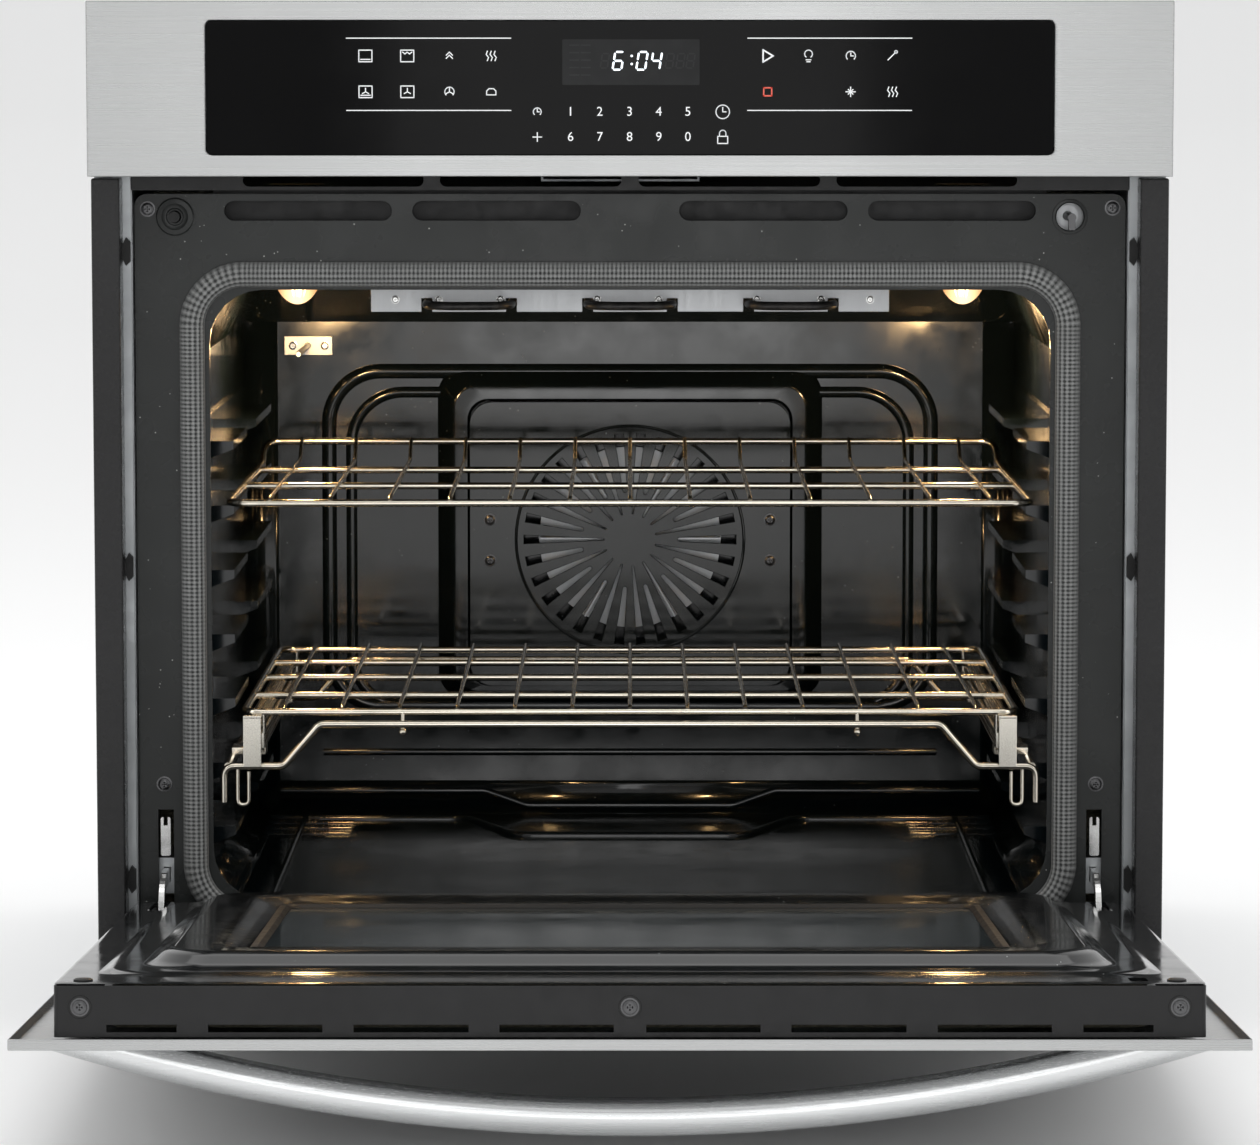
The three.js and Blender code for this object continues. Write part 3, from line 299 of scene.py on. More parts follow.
def brushed(name, color, roughness, stretch, anisotropic=0.5):
    """Fine parallel scratches: short across the brush, long along it."""
    s = Shader(name, color, roughness, 1.0, Anisotropic=anisotropic)
    grain = s.noise(1.0, detail=4.0, stretch=stretch, roughness=0.7)
    s.color(s.tinted(grain, color, 0.9, 1.0))
    scratches = s.spread(grain, roughness - 0.05, roughness + 0.06)
    s.roughness(s.math("ADD", scratches, s.spread(s.noise(6.0), -0.02, 0.03)))
    s.bump(grain, 0.08, 0.03)
    return s.material


SPECK_PITCH = 170.0
SPECK_RADIUS = 0.085


def enamel(name, color, speck, roughness, shine, speck_share=0.6):
    """Porcelain enamel: a slightly uneven glossy coat with small pale specks."""
    s = Shader(name, color, roughness, 0.0, Specular_IOR_Level=shine)
    near = s.math("LESS_THAN", s.cells(SPECK_PITCH), SPECK_RADIUS)
    chosen = s.math("GREATER_THAN", s.noise(60.0, detail=0.0), speck_share)
    dots = s.math("MULTIPLY", near, chosen)
    tone = s.tinted(s.noise(14.0), color, 0.85, 1.15)
    s.color(s.mix(dots, tone, speck))
    s.roughness(s.spread(s.noise(30.0, detail=3.0), roughness - 0.04, roughness + 0.07))
    s.bump(s.noise(22.0, detail=1.0), 0.05, 0.6)
    return s.material


def satin_paint(name, color, roughness=0.36):
    s = Shader(name, color, roughness, 0.0, Specular_IOR_Level=0.3)
    s.color(s.tinted(s.noise(9.0), color, 0.85, 1.2))
    s.roughness(s.spread(s.noise(120.0, detail=3.0), roughness - 0.05, roughness + 0.08))
    s.bump(s.noise(900.0, detail=2.0), 0.12, 0.06)
    return s.material


def zinc(name):
    """Zinc coated sheet, with its pale crystal pattern."""
    s = Shader(name, (0.36, 0.375, 0.385), 0.42, 1.0)
    clouds = s.spread(s.noise(35.0, detail=4.0), 0.0, 1.0)
    sheet = s.mix(clouds, (0.27, 0.285, 0.295), (0.40, 0.415, 0.425))
    node = s.tree.nodes.new("ShaderNodeRGBToBW")
    s.link(s.cells(70.0, "Color"), node.inputs[0])
    crystals = node.outputs[0]
    s.color(s.mix(s.spread(crystals, 0.0, 0.6, 0.0, 1.0), sheet, (0.46, 0.475, 0.485)))
    s.roughness(s.spread(crystals, 0.32, 0.5, 0.0, 1.0))
    s.bump(s.noise(260.0, detail=3.0), 0.06, 0.05)
    return s.material


def plated(name, color, roughness):
    """Bright plating with handling haze."""
    s = Shader(name, color, roughness, 1.0)
    haze = s.noise(45.0, detail=4.0)
    s.color(s.tinted(haze, color, 0.82, 1.0))
    s.roughness(s.spread(haze, roughness - 0.05, roughness + 0.12))
    s.bump(s.noise(500.0, detail=2.0), 0.04, 0.04)
    return s.material


def rope(name):
    """Woven glass fibre with loose fuzz, and painted light and shade: pale where its mesh says that the yarns
    stand proud, dark in the hollows between them.
    """
    s = Shader(name, (0.14, 0.14, 0.14), 0.92, 0.0, Specular_IOR_Level=0.2)
    fuzz = s.noise(1400.0, detail=3.0)
    crest_shading = s.tree.nodes.new("ShaderNodeAttribute")
    crest_shading.attribute_name = "crest_shading"
    # Painted light and shade: pale where the mesh stands proud, dark in its hollows.
    crest = s.spread(crest_shading.outputs["Fac"], 0.0, 1.0, 0.15, 0.85)
    crest_shading_and_fuzz = s.math("ADD", crest, s.spread(fuzz, -0.2, 0.2))
    tone = s.mix(crest_shading_and_fuzz, (0.022, 0.023, 0.023), (0.33, 0.335, 0.33))
    patch = s.spread(s.noise(45.0, detail=3.0), 0.0, 0.35)
    s.color(s.mix(patch, tone, (0.11, 0.113, 0.11)))
    s.bump(fuzz, 0.35, 0.2)
    return s.material


def touch_glass(name):
    s = Shader(name, (0.0022, 0.0022, 0.0024), 0.06, 0.0, Specular_IOR_Level=0.07)
    s.roughness(s.spread(s.noise(14.0, detail=4.0), 0.04, 0.11))
    s.bump(s.noise(5.0, detail=1.0), 0.02, 0.4)
    return s.material


def window_glass(name, color, transmission, shine):
    s = Shader(name, color, 0.03, 0.0, Transmission_Weight=transmission, IOR=1.5)
    s.set("Specular IOR Level", shine)
    s.roughness(s.spread(s.noise(18.0, detail=3.0), 0.02, 0.08))
    return s.material


def glowing(name, color, strength):
    s = Shader(name, color, 0.25, 0.0, Emission_Strength=strength)
    s.set("Emission Color", (*color, 1.0))
    s.roughness(s.spread(s.noise(200.0), 0.15, 0.35))
    return s.material


def lamp_glass(name):
    """Warm glass, brightest in the middle of each dome and amber at its sides."""
    s = Shader(name, (0.02, 0.012, 0.006), 0.2, 0.0, Emission_Strength=1.0)
    low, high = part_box("lamp_right")
    split = s.tree.nodes.new("ShaderNodeSeparateXYZ")
    s.link(s.coords.outputs["Object"], split.inputs[0])
    from_plane = s.math("ABSOLUTE", split.outputs["X"], 0.0)
    aside = s.math("ABSOLUTE", s.math("SUBTRACT", from_plane, (low.x + high.x) / 2), 0.0)
    glow = s.mix(s.spread(aside, 0.0, 1.0, 0.003, 0.017), (1.9, 1.35, 0.75), (0.62, 0.24, 0.055))
    s.link(glow, s.bsdf.inputs["Emission Color"])
    s.roughness(s.spread(s.noise(200.0), 0.12, 0.3))
    return s.material


def element_sheath(name):
    """Oxidised sheath of a heating element."""
    s = Shader(name, (0.03, 0.03, 0.03), 0.42, 0.4)
    scale = s.noise(160.0, detail=5.0)
    s.color(s.mix(s.spread(scale, 0.0, 1.0), (0.014, 0.014, 0.014), (0.06, 0.056, 0.052)))
    s.roughness(s.spread(scale, 0.3, 0.55))
    s.bump(scale, 0.15, 0.08)
    return s.material


def wool(name):
    s = Shader(name, (0.6, 0.52, 0.3), 0.97, 0.0, Sheen_Weight=0.4)
    fibre = s.noise(260.0, detail=6.0, stretch=(1, 1, 3))
    s.color(s.mix(s.spread(fibre, 0.0, 1.0), (0.10, 0.09, 0.06), (0.24, 0.22, 0.16)))
    s.bump(fibre, 0.7, 1.5)
    return s.material


def solder_mask(name):
    s = Shader(name, (0.012, 0.10, 0.045), 0.3, 0.0, Coat_Weight=0.4)
    tracks = s.cells(420.0)
    s.color(s.mix(s.spread(tracks, 0.0, 1.0, 0.1, 0.5), (0.02, 0.16, 0.07), (0.01, 0.08, 0.035)))
    return s.material


STEEL = brushed("stainless_brushed", (0.45, 0.455, 0.455), 0.27, (2.0, 1500.0, 1500.0), 0.55)
HANDLE_STEEL = brushed("handle_brushed", (0.72, 0.73, 0.735), 0.24, (2.0, 1300.0, 1300.0), 0.35)
SLIDE_STEEL = brushed("slide_steel", (0.70, 0.67, 0.60), 0.25, (1200.0, 4.0, 1200.0), 0.3)
PLAIN_STEEL = brushed("plain_steel", (0.46, 0.47, 0.48), 0.38, (300.0, 300.0, 8.0), 0.2)
ZINC = zinc("zinc_coated")
PLATED = plated("nickel_plated", (0.74, 0.74, 0.73), 0.16)
WIRE = plated("rack_plating", (0.80, 0.74, 0.63), 0.14)
FACE_ENAMEL = enamel("face_enamel", (0.024, 0.026, 0.0253), (0.50, 0.50, 0.48), 0.26, 0.28)
CAVITY_ENAMEL = enamel("cavity_enamel", (0.0042, 0.0074, 0.0092), (0.14, 0.16, 0.17), 0.11, 0.62, 0.66)
DOOR_ENAMEL = enamel("door_enamel", (0.0065, 0.0072, 0.0076), (0.22, 0.23, 0.23), 0.10, 0.5, 0.64)
BLACK = satin_paint("black_paint", (0.011, 0.011, 0.0115))
SOFT_BLACK = satin_paint("black_plastic", (0.014, 0.014, 0.014), 0.5)
TRIM_BLACK = satin_paint("trim_paint", (0.014, 0.014, 0.0145), 0.26)
SCREW_BLACK = plated("black_zinc", (0.12, 0.12, 0.123), 0.3)
ROPE = rope("seal_rope")
KEY_GLASS = touch_glass("touch_glass")
DOOR_GLASS = window_glass("outer_pane", (0.004, 0.004, 0.0045), 0.0, 0.16)
INNER_GLASS = window_glass("inner_pane", (0.16, 0.19, 0.20), 0.8, 0.4)
SHEATH = element_sheath("element_sheath")
WOOL = wool("mineral_wool")
BOARD = solder_mask("solder_mask")
LAMP = lamp_glass("lamp_glass")
# Printed marks that also glow a little, though they are no lamp: painted light on top of the print.
PRINT_WITH_PAINTED_GLOW = glowing("white_print_painted_glow", (0.80, 0.81, 0.82), 0.22)
RED_PRINT_WITH_PAINTED_GLOW = glowing("red_print_painted_glow", (0.75, 0.10, 0.06), 0.15)
DIGIT = glowing("display_lit", (0.86, 0.93, 1.0), 1.1)
GHOST = satin_paint("display_unlit", (0.022, 0.023, 0.024), 0.5)
SCREEN = satin_paint("display_screen", (0.0075, 0.008, 0.0085), 0.4)

SLOT_MATERIALS = {
    "stainless": STEEL, "handle_steel": HANDLE_STEEL, "key_glass": KEY_GLASS, "door_glass": DOOR_GLASS,
    "inner_glass": INNER_GLASS, "frame_enamel": FACE_ENAMEL, "cavity_enamel": CAVITY_ENAMEL,
    "black_paint": BLACK, "galvanised": ZINC, "hinge_steel": PLATED, "slide_steel": SLIDE_STEEL,
    "rack_chrome": WIRE, "element_sheath": SHEATH, "plain_steel": PLAIN_STEEL, "lamp_glass": LAMP,
    "seal_rope": ROPE, "mineral_wool": WOOL, "circuit_board": BOARD, "black_plastic": SOFT_BLACK,
}
NODE_MATERIALS = {
    "latch_hook": SCREW_BLACK, "broil_bracket": PLAIN_STEEL, "temperature_sensor": PLAIN_STEEL,
    "side_trim_left": TRIM_BLACK, "side_trim_right": TRIM_BLACK, "door_liner": DOOR_ENAMEL,
}
EDGE_ROUNDING = {
    "control_panel": 0.8, "control_glass": 0.5, "front_frame": 0.5, "side_trim_left": 1.2,
    "side_trim_right": 1.2, "bottom_trim": 0.7, "door_skin": 0.5, "door_box": 0.4, "chassis_top": 0.4,
    "mounting_rail_left": 0.3, "mounting_rail_right": 0.3, "rack_guide_left": 3.0, "rack_guide_right": 3.0,
    "slide_rail_left": 0.4, "slide_rail_right": 0.4, "hinge_arm_left": 0.7, "hinge_arm_right": 0.7,
    "hinge_lock_left": 0.6, "hinge_lock_right": 0.6, "vent_grille": 0.4, "cable_gland": 0.8,
    "broil_bracket": 0.3, "temperature_sensor": 0.4, "latch_hook": 0.5, "outer_glass": 0.4,
}


NARROWEST_ROUNDED_CORNER = math.radians(35)


def round_edges(piece, width_mm):
    """Breaks a sheet's hard edges without touching its mesh."""
    weld = piece.modifiers.new("weld", "WELD")
    weld.merge_threshold = 1e-5
    bevel = piece.modifiers.new("edges", "BEVEL")
    bevel.width = width_mm * MM
    bevel.segments = 2
    bevel.limit_method = "ANGLE"
    bevel.angle_limit = NARROWEST_ROUNDED_CORNER
    bevel.use_clamp_overlap = True
    bevel.harden_normals = False


def weigh_normals(piece):
    """Keeps wide flat faces flat beside small rounded ones."""
    weights = piece.modifiers.new("normals", "WEIGHTED_NORMAL")
    weights.keep_sharp = True


def finish_cad_nodes():
    slots = {entry["node"]: entry["material_slot"] for entry in frame["record"]["subparts"]}
    for name, node in NODES.items():
        material = NODE_MATERIALS.get(name, SLOT_MATERIALS[slots[name]])
        node.data.materials.clear()
        node.data.materials.append(material)
        if name in EDGE_ROUNDING:
            round_edges(node, EDGE_ROUNDING[name])


# ---- mesh building ----

# Stands up a flat shape that was drawn in X and Y.
UPRIGHT = Matrix.Rotation(math.pi / 2, 4, "X")


def turn(steps):
    """The angles of one full turn."""
    return [2 * math.pi * k / steps for k in range(steps)]


def axes_across(axis):
    """A direction at unit length, and two more that are square to it."""
    axis = Vector(axis).normalized()
    side = axis.orthogonal().normalized()
    return axis, side, axis.cross(side)


def mesh_from(bm, name):
    """A mesh with smooth faces. The bmesh it comes from is used up."""
    mesh = bpy.data.meshes.new(name)
    bm.to_mesh(mesh)
    bm.free()
    mesh.polygons.foreach_set("use_smooth", [True] * len(mesh.polygons))
    return mesh


def final_mesh(item):
    """A new mesh of an object as its curves and modifiers make it."""
    bpy.context.view_layer.update()
    graph = bpy.context.evaluated_depsgraph_get()
    return bpy.data.meshes.new_from_object(item.evaluated_get(graph))


def piece_from_mesh(bm, name, material, body, smooth=35.0):
    """A piece of the object. Edges sharper than the smooth angle stay sharp."""
    bmesh.ops.recalc_face_normals(bm, faces=bm.faces)
    mesh = mesh_from(bm, name)
    mesh.set_sharp_from_angle(angle=math.radians(smooth))
    mesh.materials.append(material)
    piece = add_object(name, mesh)
    weigh_normals(piece)
    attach(piece, body)
    return piece


def add_loops(bm, loops, closed_loop=True, closed_run=False, caps=True):
    """Skins a run of point loops, given in millimetres."""
    rows = [[bm.verts.new(Vector(p) * MM) for p in loop] for loop in loops]
    count = len(rows[0])
    runs = len(rows) if closed_run else len(rows) - 1
    for r in range(runs):
        a, b = rows[r], rows[(r + 1) % len(rows)]
        for i in range(count if closed_loop else count - 1):
            j = (i + 1) % count
            bm.faces.new((a[i], a[j], b[j], b[i]))
    if caps and not closed_run and closed_loop:
        bm.faces.new(rows[0][::-1])
        bm.faces.new(rows[-1])


def rounded_path(points, fillet, steps=6, flat=False):
    """A polyline with its inner corners turned into arcs of about the given radius."""
    points = [Vector((*p, 0.0)) if flat else Vector(p) for p in points]
    path = [points[0]]
    for before, corner, after in zip(points, points[1:], points[2:]):
        to_before, to_after = before - corner, after - corner
        half_turn = (math.pi - to_before.angle(to_after)) / 2
        reach = min(fillet * math.tan(half_turn), to_before.length * 0.49, to_after.length * 0.49)
        start = corner + to_before.normalized() * reach
        end = corner + to_after.normalized() * reach
        for i in range(steps + 1):
            t = i / steps
            path.append(start * (1 - t) ** 2 + corner * 2 * t * (1 - t) + end * t ** 2)
    path.append(points[-1])
    return [(p.x, p.y) for p in path] if flat else path


def thicken(piece, thickness_mm):
    sheet = piece.modifiers.new("sheet", "SOLIDIFY")
    sheet.thickness = thickness_mm * MM


def add_tube(bm, path, radius, sides=12, closed=False):
    """A round tube along a path, with the section kept upright by parallel transport."""
    path = [Vector(p) for p in path]
    count = len(path)
    loops = []
    side = None
    for i, point in enumerate(path):
        ahead = path[(i + 1) % count] if closed or i + 1 < count else point
        behind = path[i - 1] if closed or i else point
        tangent = (ahead - behind).normalized()
        if side is None:
            side = tangent.orthogonal().normalized()
        side = (side - tangent * side.dot(tangent)).normalized()
        other = tangent.cross(side)
        loops.append([
            point + (side * math.cos(a) + other * math.sin(a)) * radius for a in turn(sides)
        ])
    add_loops(bm, loops, closed_run=closed)


def add_box(bm, low, high, rounding=0.0):
    low, high = Vector(low) * MM, Vector(high) * MM
    made = bmesh.ops.create_cube(bm, size=1.0)
    verts = made["verts"]
    bmesh.ops.scale(bm, vec=high - low, verts=verts)
    bmesh.ops.translate(bm, vec=(low + high) / 2, verts=verts)
    if rounding:
        edges = list({e for v in verts for e in v.link_edges})
        bmesh.ops.bevel(bm, geom=edges, offset=rounding * MM, segments=2, profile=0.5, affect="EDGES")


def add_lathe(bm, profile, place, axis, steps=28):
    """A turned shape. Each profile point is a radius and a height along the axis, from place."""
    axis, side, other = axes_across(axis)
    loops = []
    for radius, height in profile:
        centre = Vector(place) + axis * height
        r = max(radius, 0.01)
        loops.append([centre + (side * math.cos(a) + other * math.sin(a)) * r for a in turn(steps)])
    add_loops(bm, loops)


def add_screw(bm, place, axis, radius, height):
    """A pan head with a washer flange and a cross in its dished top."""
    profile = [
        (radius, 0.0), (radius, height * 0.3), (radius * 0.8, height * 0.34),
        (radius * 0.74, height * 0.75), (radius * 0.55, height), (radius * 0.34, height),
        (radius * 0.2, height * 0.45), (0.0, height * 0.4),
    ]
    add_lathe(bm, profile, place, axis, 24)
    axis, side, other = axes_across(axis)
    top = Vector(place) + axis * (height * 0.98)
    length, breadth = radius * 0.48, radius * 0.09
    for along, across in ((side, other), (other, side)):
        corners = [
            top + along * a * length + across * b * breadth
            for a, b in ((-1, -1), (1, -1), (1, 1), (-1, 1))
        ]
        add_loops(bm, [corners, [corner + axis * 0.12 for corner in corners]])


def rounded_rect(x0, x1, z0, z1, radius, steps=8):
    """Corner points of a rounded rectangle, anticlockwise from the lower right."""
    points = []
    left, right, low, high = x0 + radius, x1 - radius, z0 + radius, z1 - radius
    for quarter, (cx, cz) in enumerate(((right, low), (right, high), (left, high), (left, low))):
        for i in range(steps + 1):
            angle = math.radians(-90 + 90 * quarter + 90 * i / steps)
            points.append((cx + radius * math.cos(angle), cz + radius * math.sin(angle)))
    return points


def side_box(side, inner, outer, y0, y1, z0, z1):
    """Opposite corners of a box on the left (-1) or the right (1), between two distances out."""
    x0, x1 = sorted((side * inner, side * outer))
    return (x0, y0, z0), (x1, y1, z1)


def add_rect_ring(bm, stations, steps, place=None):
    """Sweeps a closed section around rounded rectangles (half width, bottom, top, radius, y)."""
    loops = []
    for half, bottom, top, radius, y in stations:
        outline = rounded_rect(-half, half, bottom, top, radius, steps)
        loop = [Vector((x, y, z)) for x, z in outline]
        loops.append([place @ (p * MM) / MM for p in loop] if place else loop)
    add_loops(bm, loops, closed_run=True)


def soften(stations, reach):
    """Rounds each corner of a section by cutting it at a short distance to either side."""
    count = len(stations)
    soft = []
    for i, here in enumerate(stations):
        before, after = stations[i - 1], stations[(i + 1) % count]
        for other in (before, after):
            gap = math.hypot(here[0] - other[0], here[4] - other[4], here[2] - other[2])
            t = min(0.4, reach / max(gap, 0.01))
            soft.append(tuple(h * (1 - t) + o * t for h, o in zip(here, other)))
    return soft


def plate_with_holes(outline, holes, y_front, thick, bevel):
    """A flat plate in X and Z as a mesh, made from filled outlines in millimetres."""
    curve = bpy.data.curves.new("plate", "CURVE")
    curve.dimensions = "2D"
    curve.fill_mode = "BOTH"
    curve.extrude = (thick / 2 - bevel) * MM
    curve.bevel_depth = bevel * MM
    curve.bevel_resolution = 0
    for points in (outline, *holes):
        spline = curve.splines.new("POLY")
        spline.points.add(len(points) - 1)
        spline.use_cyclic_u = True
        for point, (x, z) in zip(spline.points, points):
            point.co = (x * MM, z * MM, 0.0, 1.0)
    holder = add_object("plate", curve)
    mesh = final_mesh(holder)
    bpy.data.objects.remove(holder)
    bpy.data.curves.remove(curve)
    mesh.transform(Matrix.Translation((0, (y_front + thick / 2) * MM, 0)) @ UPRIGHT)
    bm = bmesh.new()
    bm.from_mesh(mesh)
    bpy.data.meshes.remove(mesh)
    bmesh.ops.remove_doubles(bm, verts=bm.verts, dist=1e-6)
    return bm


def cut_boxes(piece, boxes, place):
    """Cuts boxes, given in millimetres, out of a piece and keeps the result."""
    bm = bmesh.new()
    for low, high in boxes:
        add_box(bm, low, high)
    bm.transform(place)
    mesh = mesh_from(bm, "cutter")
    cutter = add_object("cutter", mesh)
    modifier = piece.modifiers.new("cut", "BOOLEAN")
    modifier.operation = "DIFFERENCE"
    modifier.solver = "EXACT"
    modifier.object = cutter
    cut = final_mesh(piece)
    piece.modifiers.remove(modifier)
    old, piece.data = piece.data, cut
    bpy.data.meshes.remove(old)
    bpy.data.objects.remove(cutter)
    bpy.data.meshes.remove(mesh)
    cut.polygons.foreach_set("use_smooth", [True] * len(cut.polygons))
    cut.set_sharp_from_angle(angle=math.radians(38))


# ---- control panel print ----

PRINT_THICK = 0.12


def add_stroke(bm, points, breadth):
    """A flat printed line through points in X and Z, on the glass."""
    points = [Vector((x, 0, z)) for x, z in points]
    for a, b in zip(points, points[1:]):
        along = (b - a).normalized() * breadth / 2
        across = Vector((-along.z, 0, along.x))
        start, end = a - along, b + along
        add_print(bm, [start - across, end - across, end + across, start + across])


def add_print(bm, corners):
    front = [Vector((c.x, GLASS_FRONT - PRINT_THICK, c.z)) for c in corners]
    back = [Vector((c.x, GLASS_FRONT - 0.01, c.z)) for c in corners]
    add_loops(bm, [front, back])


def arc_points(cx, cz, radius, start, end, steps=14):
    """Points on an arc between two angles in degrees."""
    return [
        (cx + radius * math.cos(math.radians(a)), cz + radius * math.sin(math.radians(a)))
        for a in (start + (end - start) * i / steps for i in range(steps + 1))
    ]


# Key symbols, as lines in a square from -1 to 1.
HEAT_BELOW = [[(-0.6, -0.45), (0.6, -0.45)]]
HEAT_ABOVE = [[(-0.6, 0.5), (-0.3, 0.25), (0.0, 0.5), (0.3, 0.25), (0.6, 0.5)]]
FAN_BLADES = [[(0, 0), (0.0, 0.45)], [(0, 0), (0.39, -0.22)], [(0, 0), (-0.39, -0.22)]]
RISING = [[(-0.4, -0.3), (0, 0.1), (0.4, -0.3)], [(-0.4, 0.1), (0, 0.5), (0.4, 0.1)]]
STEAM = [[(x, -0.6), (x + 0.15, -0.2), (x - 0.15, 0.2), (x, 0.6)] for x in (-0.5, 0.0, 0.5)]
LOAF = [[(-0.6, -0.4), (0.6, -0.4), (0.6, 0.1), (0.3, 0.4), (-0.3, 0.4), (-0.6, 0.1), (-0.6, -0.4)]]
DELAY = [arc_points(0, 0, 0.6, -40, 220), [(0, 0.4), (0, 0), (0.3, 0)]]
PROBE = [[(-0.6, -0.5), (0.3, 0.4)], arc_points(0.42, 0.52, 0.17, 0, 360, 8)]
SPARKLE = [
    [(0, -0.6), (0, 0.6)], [(-0.6, 0), (0.6, 0)], [(-0.3, -0.3), (0.3, 0.3)], [(-0.3, 0.3), (0.3, -0.3)],
]
START = [[(-0.4, -0.6), (-0.4, 0.6), (0.6, 0), (-0.4, -0.6)]]
STOP = [[(-0.5, -0.5), (0.5, -0.5), (0.5, 0.5), (-0.5, 0.5), (-0.5, -0.5)]]
OVEN = [[(-0.85, -0.75), (0.85, -0.75), (0.85, 0.75), (-0.85, 0.75), (-0.85, -0.75)]]
BULB = [arc_points(0, 0.25, 0.5, -50, 230), [(-0.3, -0.5), (0.3, -0.5)], [(-0.2, -0.75), (0.2, -0.75)]]
CLOCK = [arc_points(0, 0, 0.95, 0, 360, 24), [(0, 0.6), (0, 0), (0.45, 0)]]
LOCK = [
    [(-0.7, -0.9), (0.7, -0.9), (0.7, 0.1), (-0.7, 0.1), (-0.7, -0.9)],
    [(-0.45, 0.1), (-0.45, 0.5), *arc_points(0, 0.5, 0.45, 180, 0), (0.45, 0.1)],
]
PLUS = [[(-0.6, 0), (0.6, 0)], [(0, -0.6), (0, 0.6)]]

KEY_ROWS = (698.0, 673.0)
LEFT_KEYS = (-185.3, -156.0, -126.5, -97.2)
RIGHT_KEYS = (154.6, 184.0)
LEFT_SYMBOLS = (
    (OVEN + HEAT_BELOW, OVEN + HEAT_ABOVE, RISING, STEAM),
    (OVEN + HEAT_BELOW + FAN_BLADES, OVEN + FAN_BLADES, FAN_BLADES + DELAY[:1], LOAF),
)
RIGHT_SYMBOLS = ((DELAY, PROBE), (SPARKLE, STEAM))
KEY_SIZE = 5.4
DIGIT_HEIGHT = 6.6
SIDE_KEYS = 65.0
SIDE_KEY_SIZE = 5.0
# Place along the panel, size and stroke of the keys that stand apart.
START_KEY = (96.0, 7.0, 1.1)
STOP_KEY = (96.5, 5.6, 1.0)
LIGHT_KEY = 125.0
RULE_STROKE = 0.7
RULES = ((-198.5, -83.5), (82.5, 197.3))
RULE_HEIGHTS = (710.4, 660.0)
DIGIT_COLUMNS = (-41.7, -21.2, -0.3, 20.2, 40.6)
DIGIT_ROWS = (659.0, 641.4)
STROKE = 0.75


def add_symbol(bm, symbol, x, z, size, breadth=STROKE):
    for line in symbol:
        add_stroke(bm, [(x + px * size, z + pz * size) for px, pz in line], breadth)


def add_lone_symbol(bm, symbol, key, z):
    x, size, stroke = key
    add_symbol(bm, symbol, x, z, size, stroke)


def text_mesh(bm, text, x, z, height):
    """A character printed on the glass, centred on a point."""
    font = bpy.data.curves.new("print", "FONT")
    font.body = text
    font.size = height * 1.38 * MM
    font.align_x, font.align_y = "CENTER", "CENTER"
    font.extrude = PRINT_THICK / 2 * MM
    font.resolution_u = 4
    holder = add_object("print", font)
    mesh = final_mesh(holder)
    bpy.data.objects.remove(holder)
    bpy.data.curves.remove(font)
    place = Matrix.Translation((x * MM, (GLASS_FRONT - PRINT_THICK / 2) * MM, z * MM))
    mesh.transform(place @ UPRIGHT)
    bm.from_mesh(mesh)
    bpy.data.meshes.remove(mesh)


def make_key_print():
    bm = bmesh.new()
    for row, z in enumerate(KEY_ROWS):
        for column, x in enumerate(LEFT_KEYS):
            add_symbol(bm, LEFT_SYMBOLS[row][column], x, z, KEY_SIZE)
        for column, x in enumerate(RIGHT_KEYS):
            add_symbol(bm, RIGHT_SYMBOLS[row][column], x, z, KEY_SIZE)
    add_lone_symbol(bm, START, START_KEY, KEY_ROWS[0])
    add_symbol(bm, BULB, LIGHT_KEY, KEY_ROWS[0], KEY_SIZE)
    for z in RULE_HEIGHTS:
        for x0, x1 in RULES:
            add_stroke(bm, [(x0, z), (x1, z)], RULE_STROKE)
    for i in range(10):
        text_mesh(bm, str((i + 1) % 10), DIGIT_COLUMNS[i % 5], DIGIT_ROWS[i // 5], DIGIT_HEIGHT)
    add_symbol(bm, CLOCK, SIDE_KEYS, DIGIT_ROWS[0], SIDE_KEY_SIZE)
    add_symbol(bm, LOCK, SIDE_KEYS, DIGIT_ROWS[1], SIDE_KEY_SIZE)
    add_symbol(bm, DELAY, -SIDE_KEYS, DIGIT_ROWS[0], SIDE_KEY_SIZE * 0.92)
    add_symbol(bm, PLUS, -SIDE_KEYS, DIGIT_ROWS[1], SIDE_KEY_SIZE)
    piece_from_mesh(bm, "key_print", PRINT_WITH_PAINTED_GLOW, "root")
    stop = bmesh.new()
    add_lone_symbol(stop, STOP, STOP_KEY, KEY_ROWS[1])
    piece_from_mesh(stop, "stop_key_print", RED_PRINT_WITH_PAINTED_GLOW, "root")


# Seven-segment digits: which of the bars A to G light up.
SEGMENT_LINES = {
    "A": ((-1, 2), (1, 2)), "B": ((1, 2), (1, 0)), "C": ((1, 0), (1, -2)), "D": ((-1, -2), (1, -2)),
    "E": ((-1, 0), (-1, -2)), "F": ((-1, 2), (-1, 0)), "G": ((-1, 0), (1, 0)),
}
LIT = {"6": "ACDEFG", "0": "ABCDEF", "4": "BCFG", "8": "ABCDEFG"}


SLANT = 0.16
DISPLAY_Z = 694.6


def add_segments(bm, digit, x, size, breadth):
    """Slanted seven-segment digit, each bar a thin six-cornered print."""
    for name in LIT[digit]:
        (ax, az), (bx, bz) = SEGMENT_LINES[name]
        a = Vector((x + (ax + az * SLANT) * size, 0, DISPLAY_Z + az * size))
        b = Vector((x + (bx + bz * SLANT) * size, 0, DISPLAY_Z + bz * size))
        along = (b - a).normalized()
        across = Vector((-along.z, 0, along.x)) * breadth / 2
        a, b = a + along * breadth * 0.3, b - along * breadth * 0.3
        shoulder = along * breadth / 2
        near, far = a + shoulder, b - shoulder
        add_print(bm, [a, near - across, far - across, b, far + across, near + across])


def add_rounded_print(bm, outline):
    add_print(bm, [Vector((x, 0, z)) for x, z in outline])


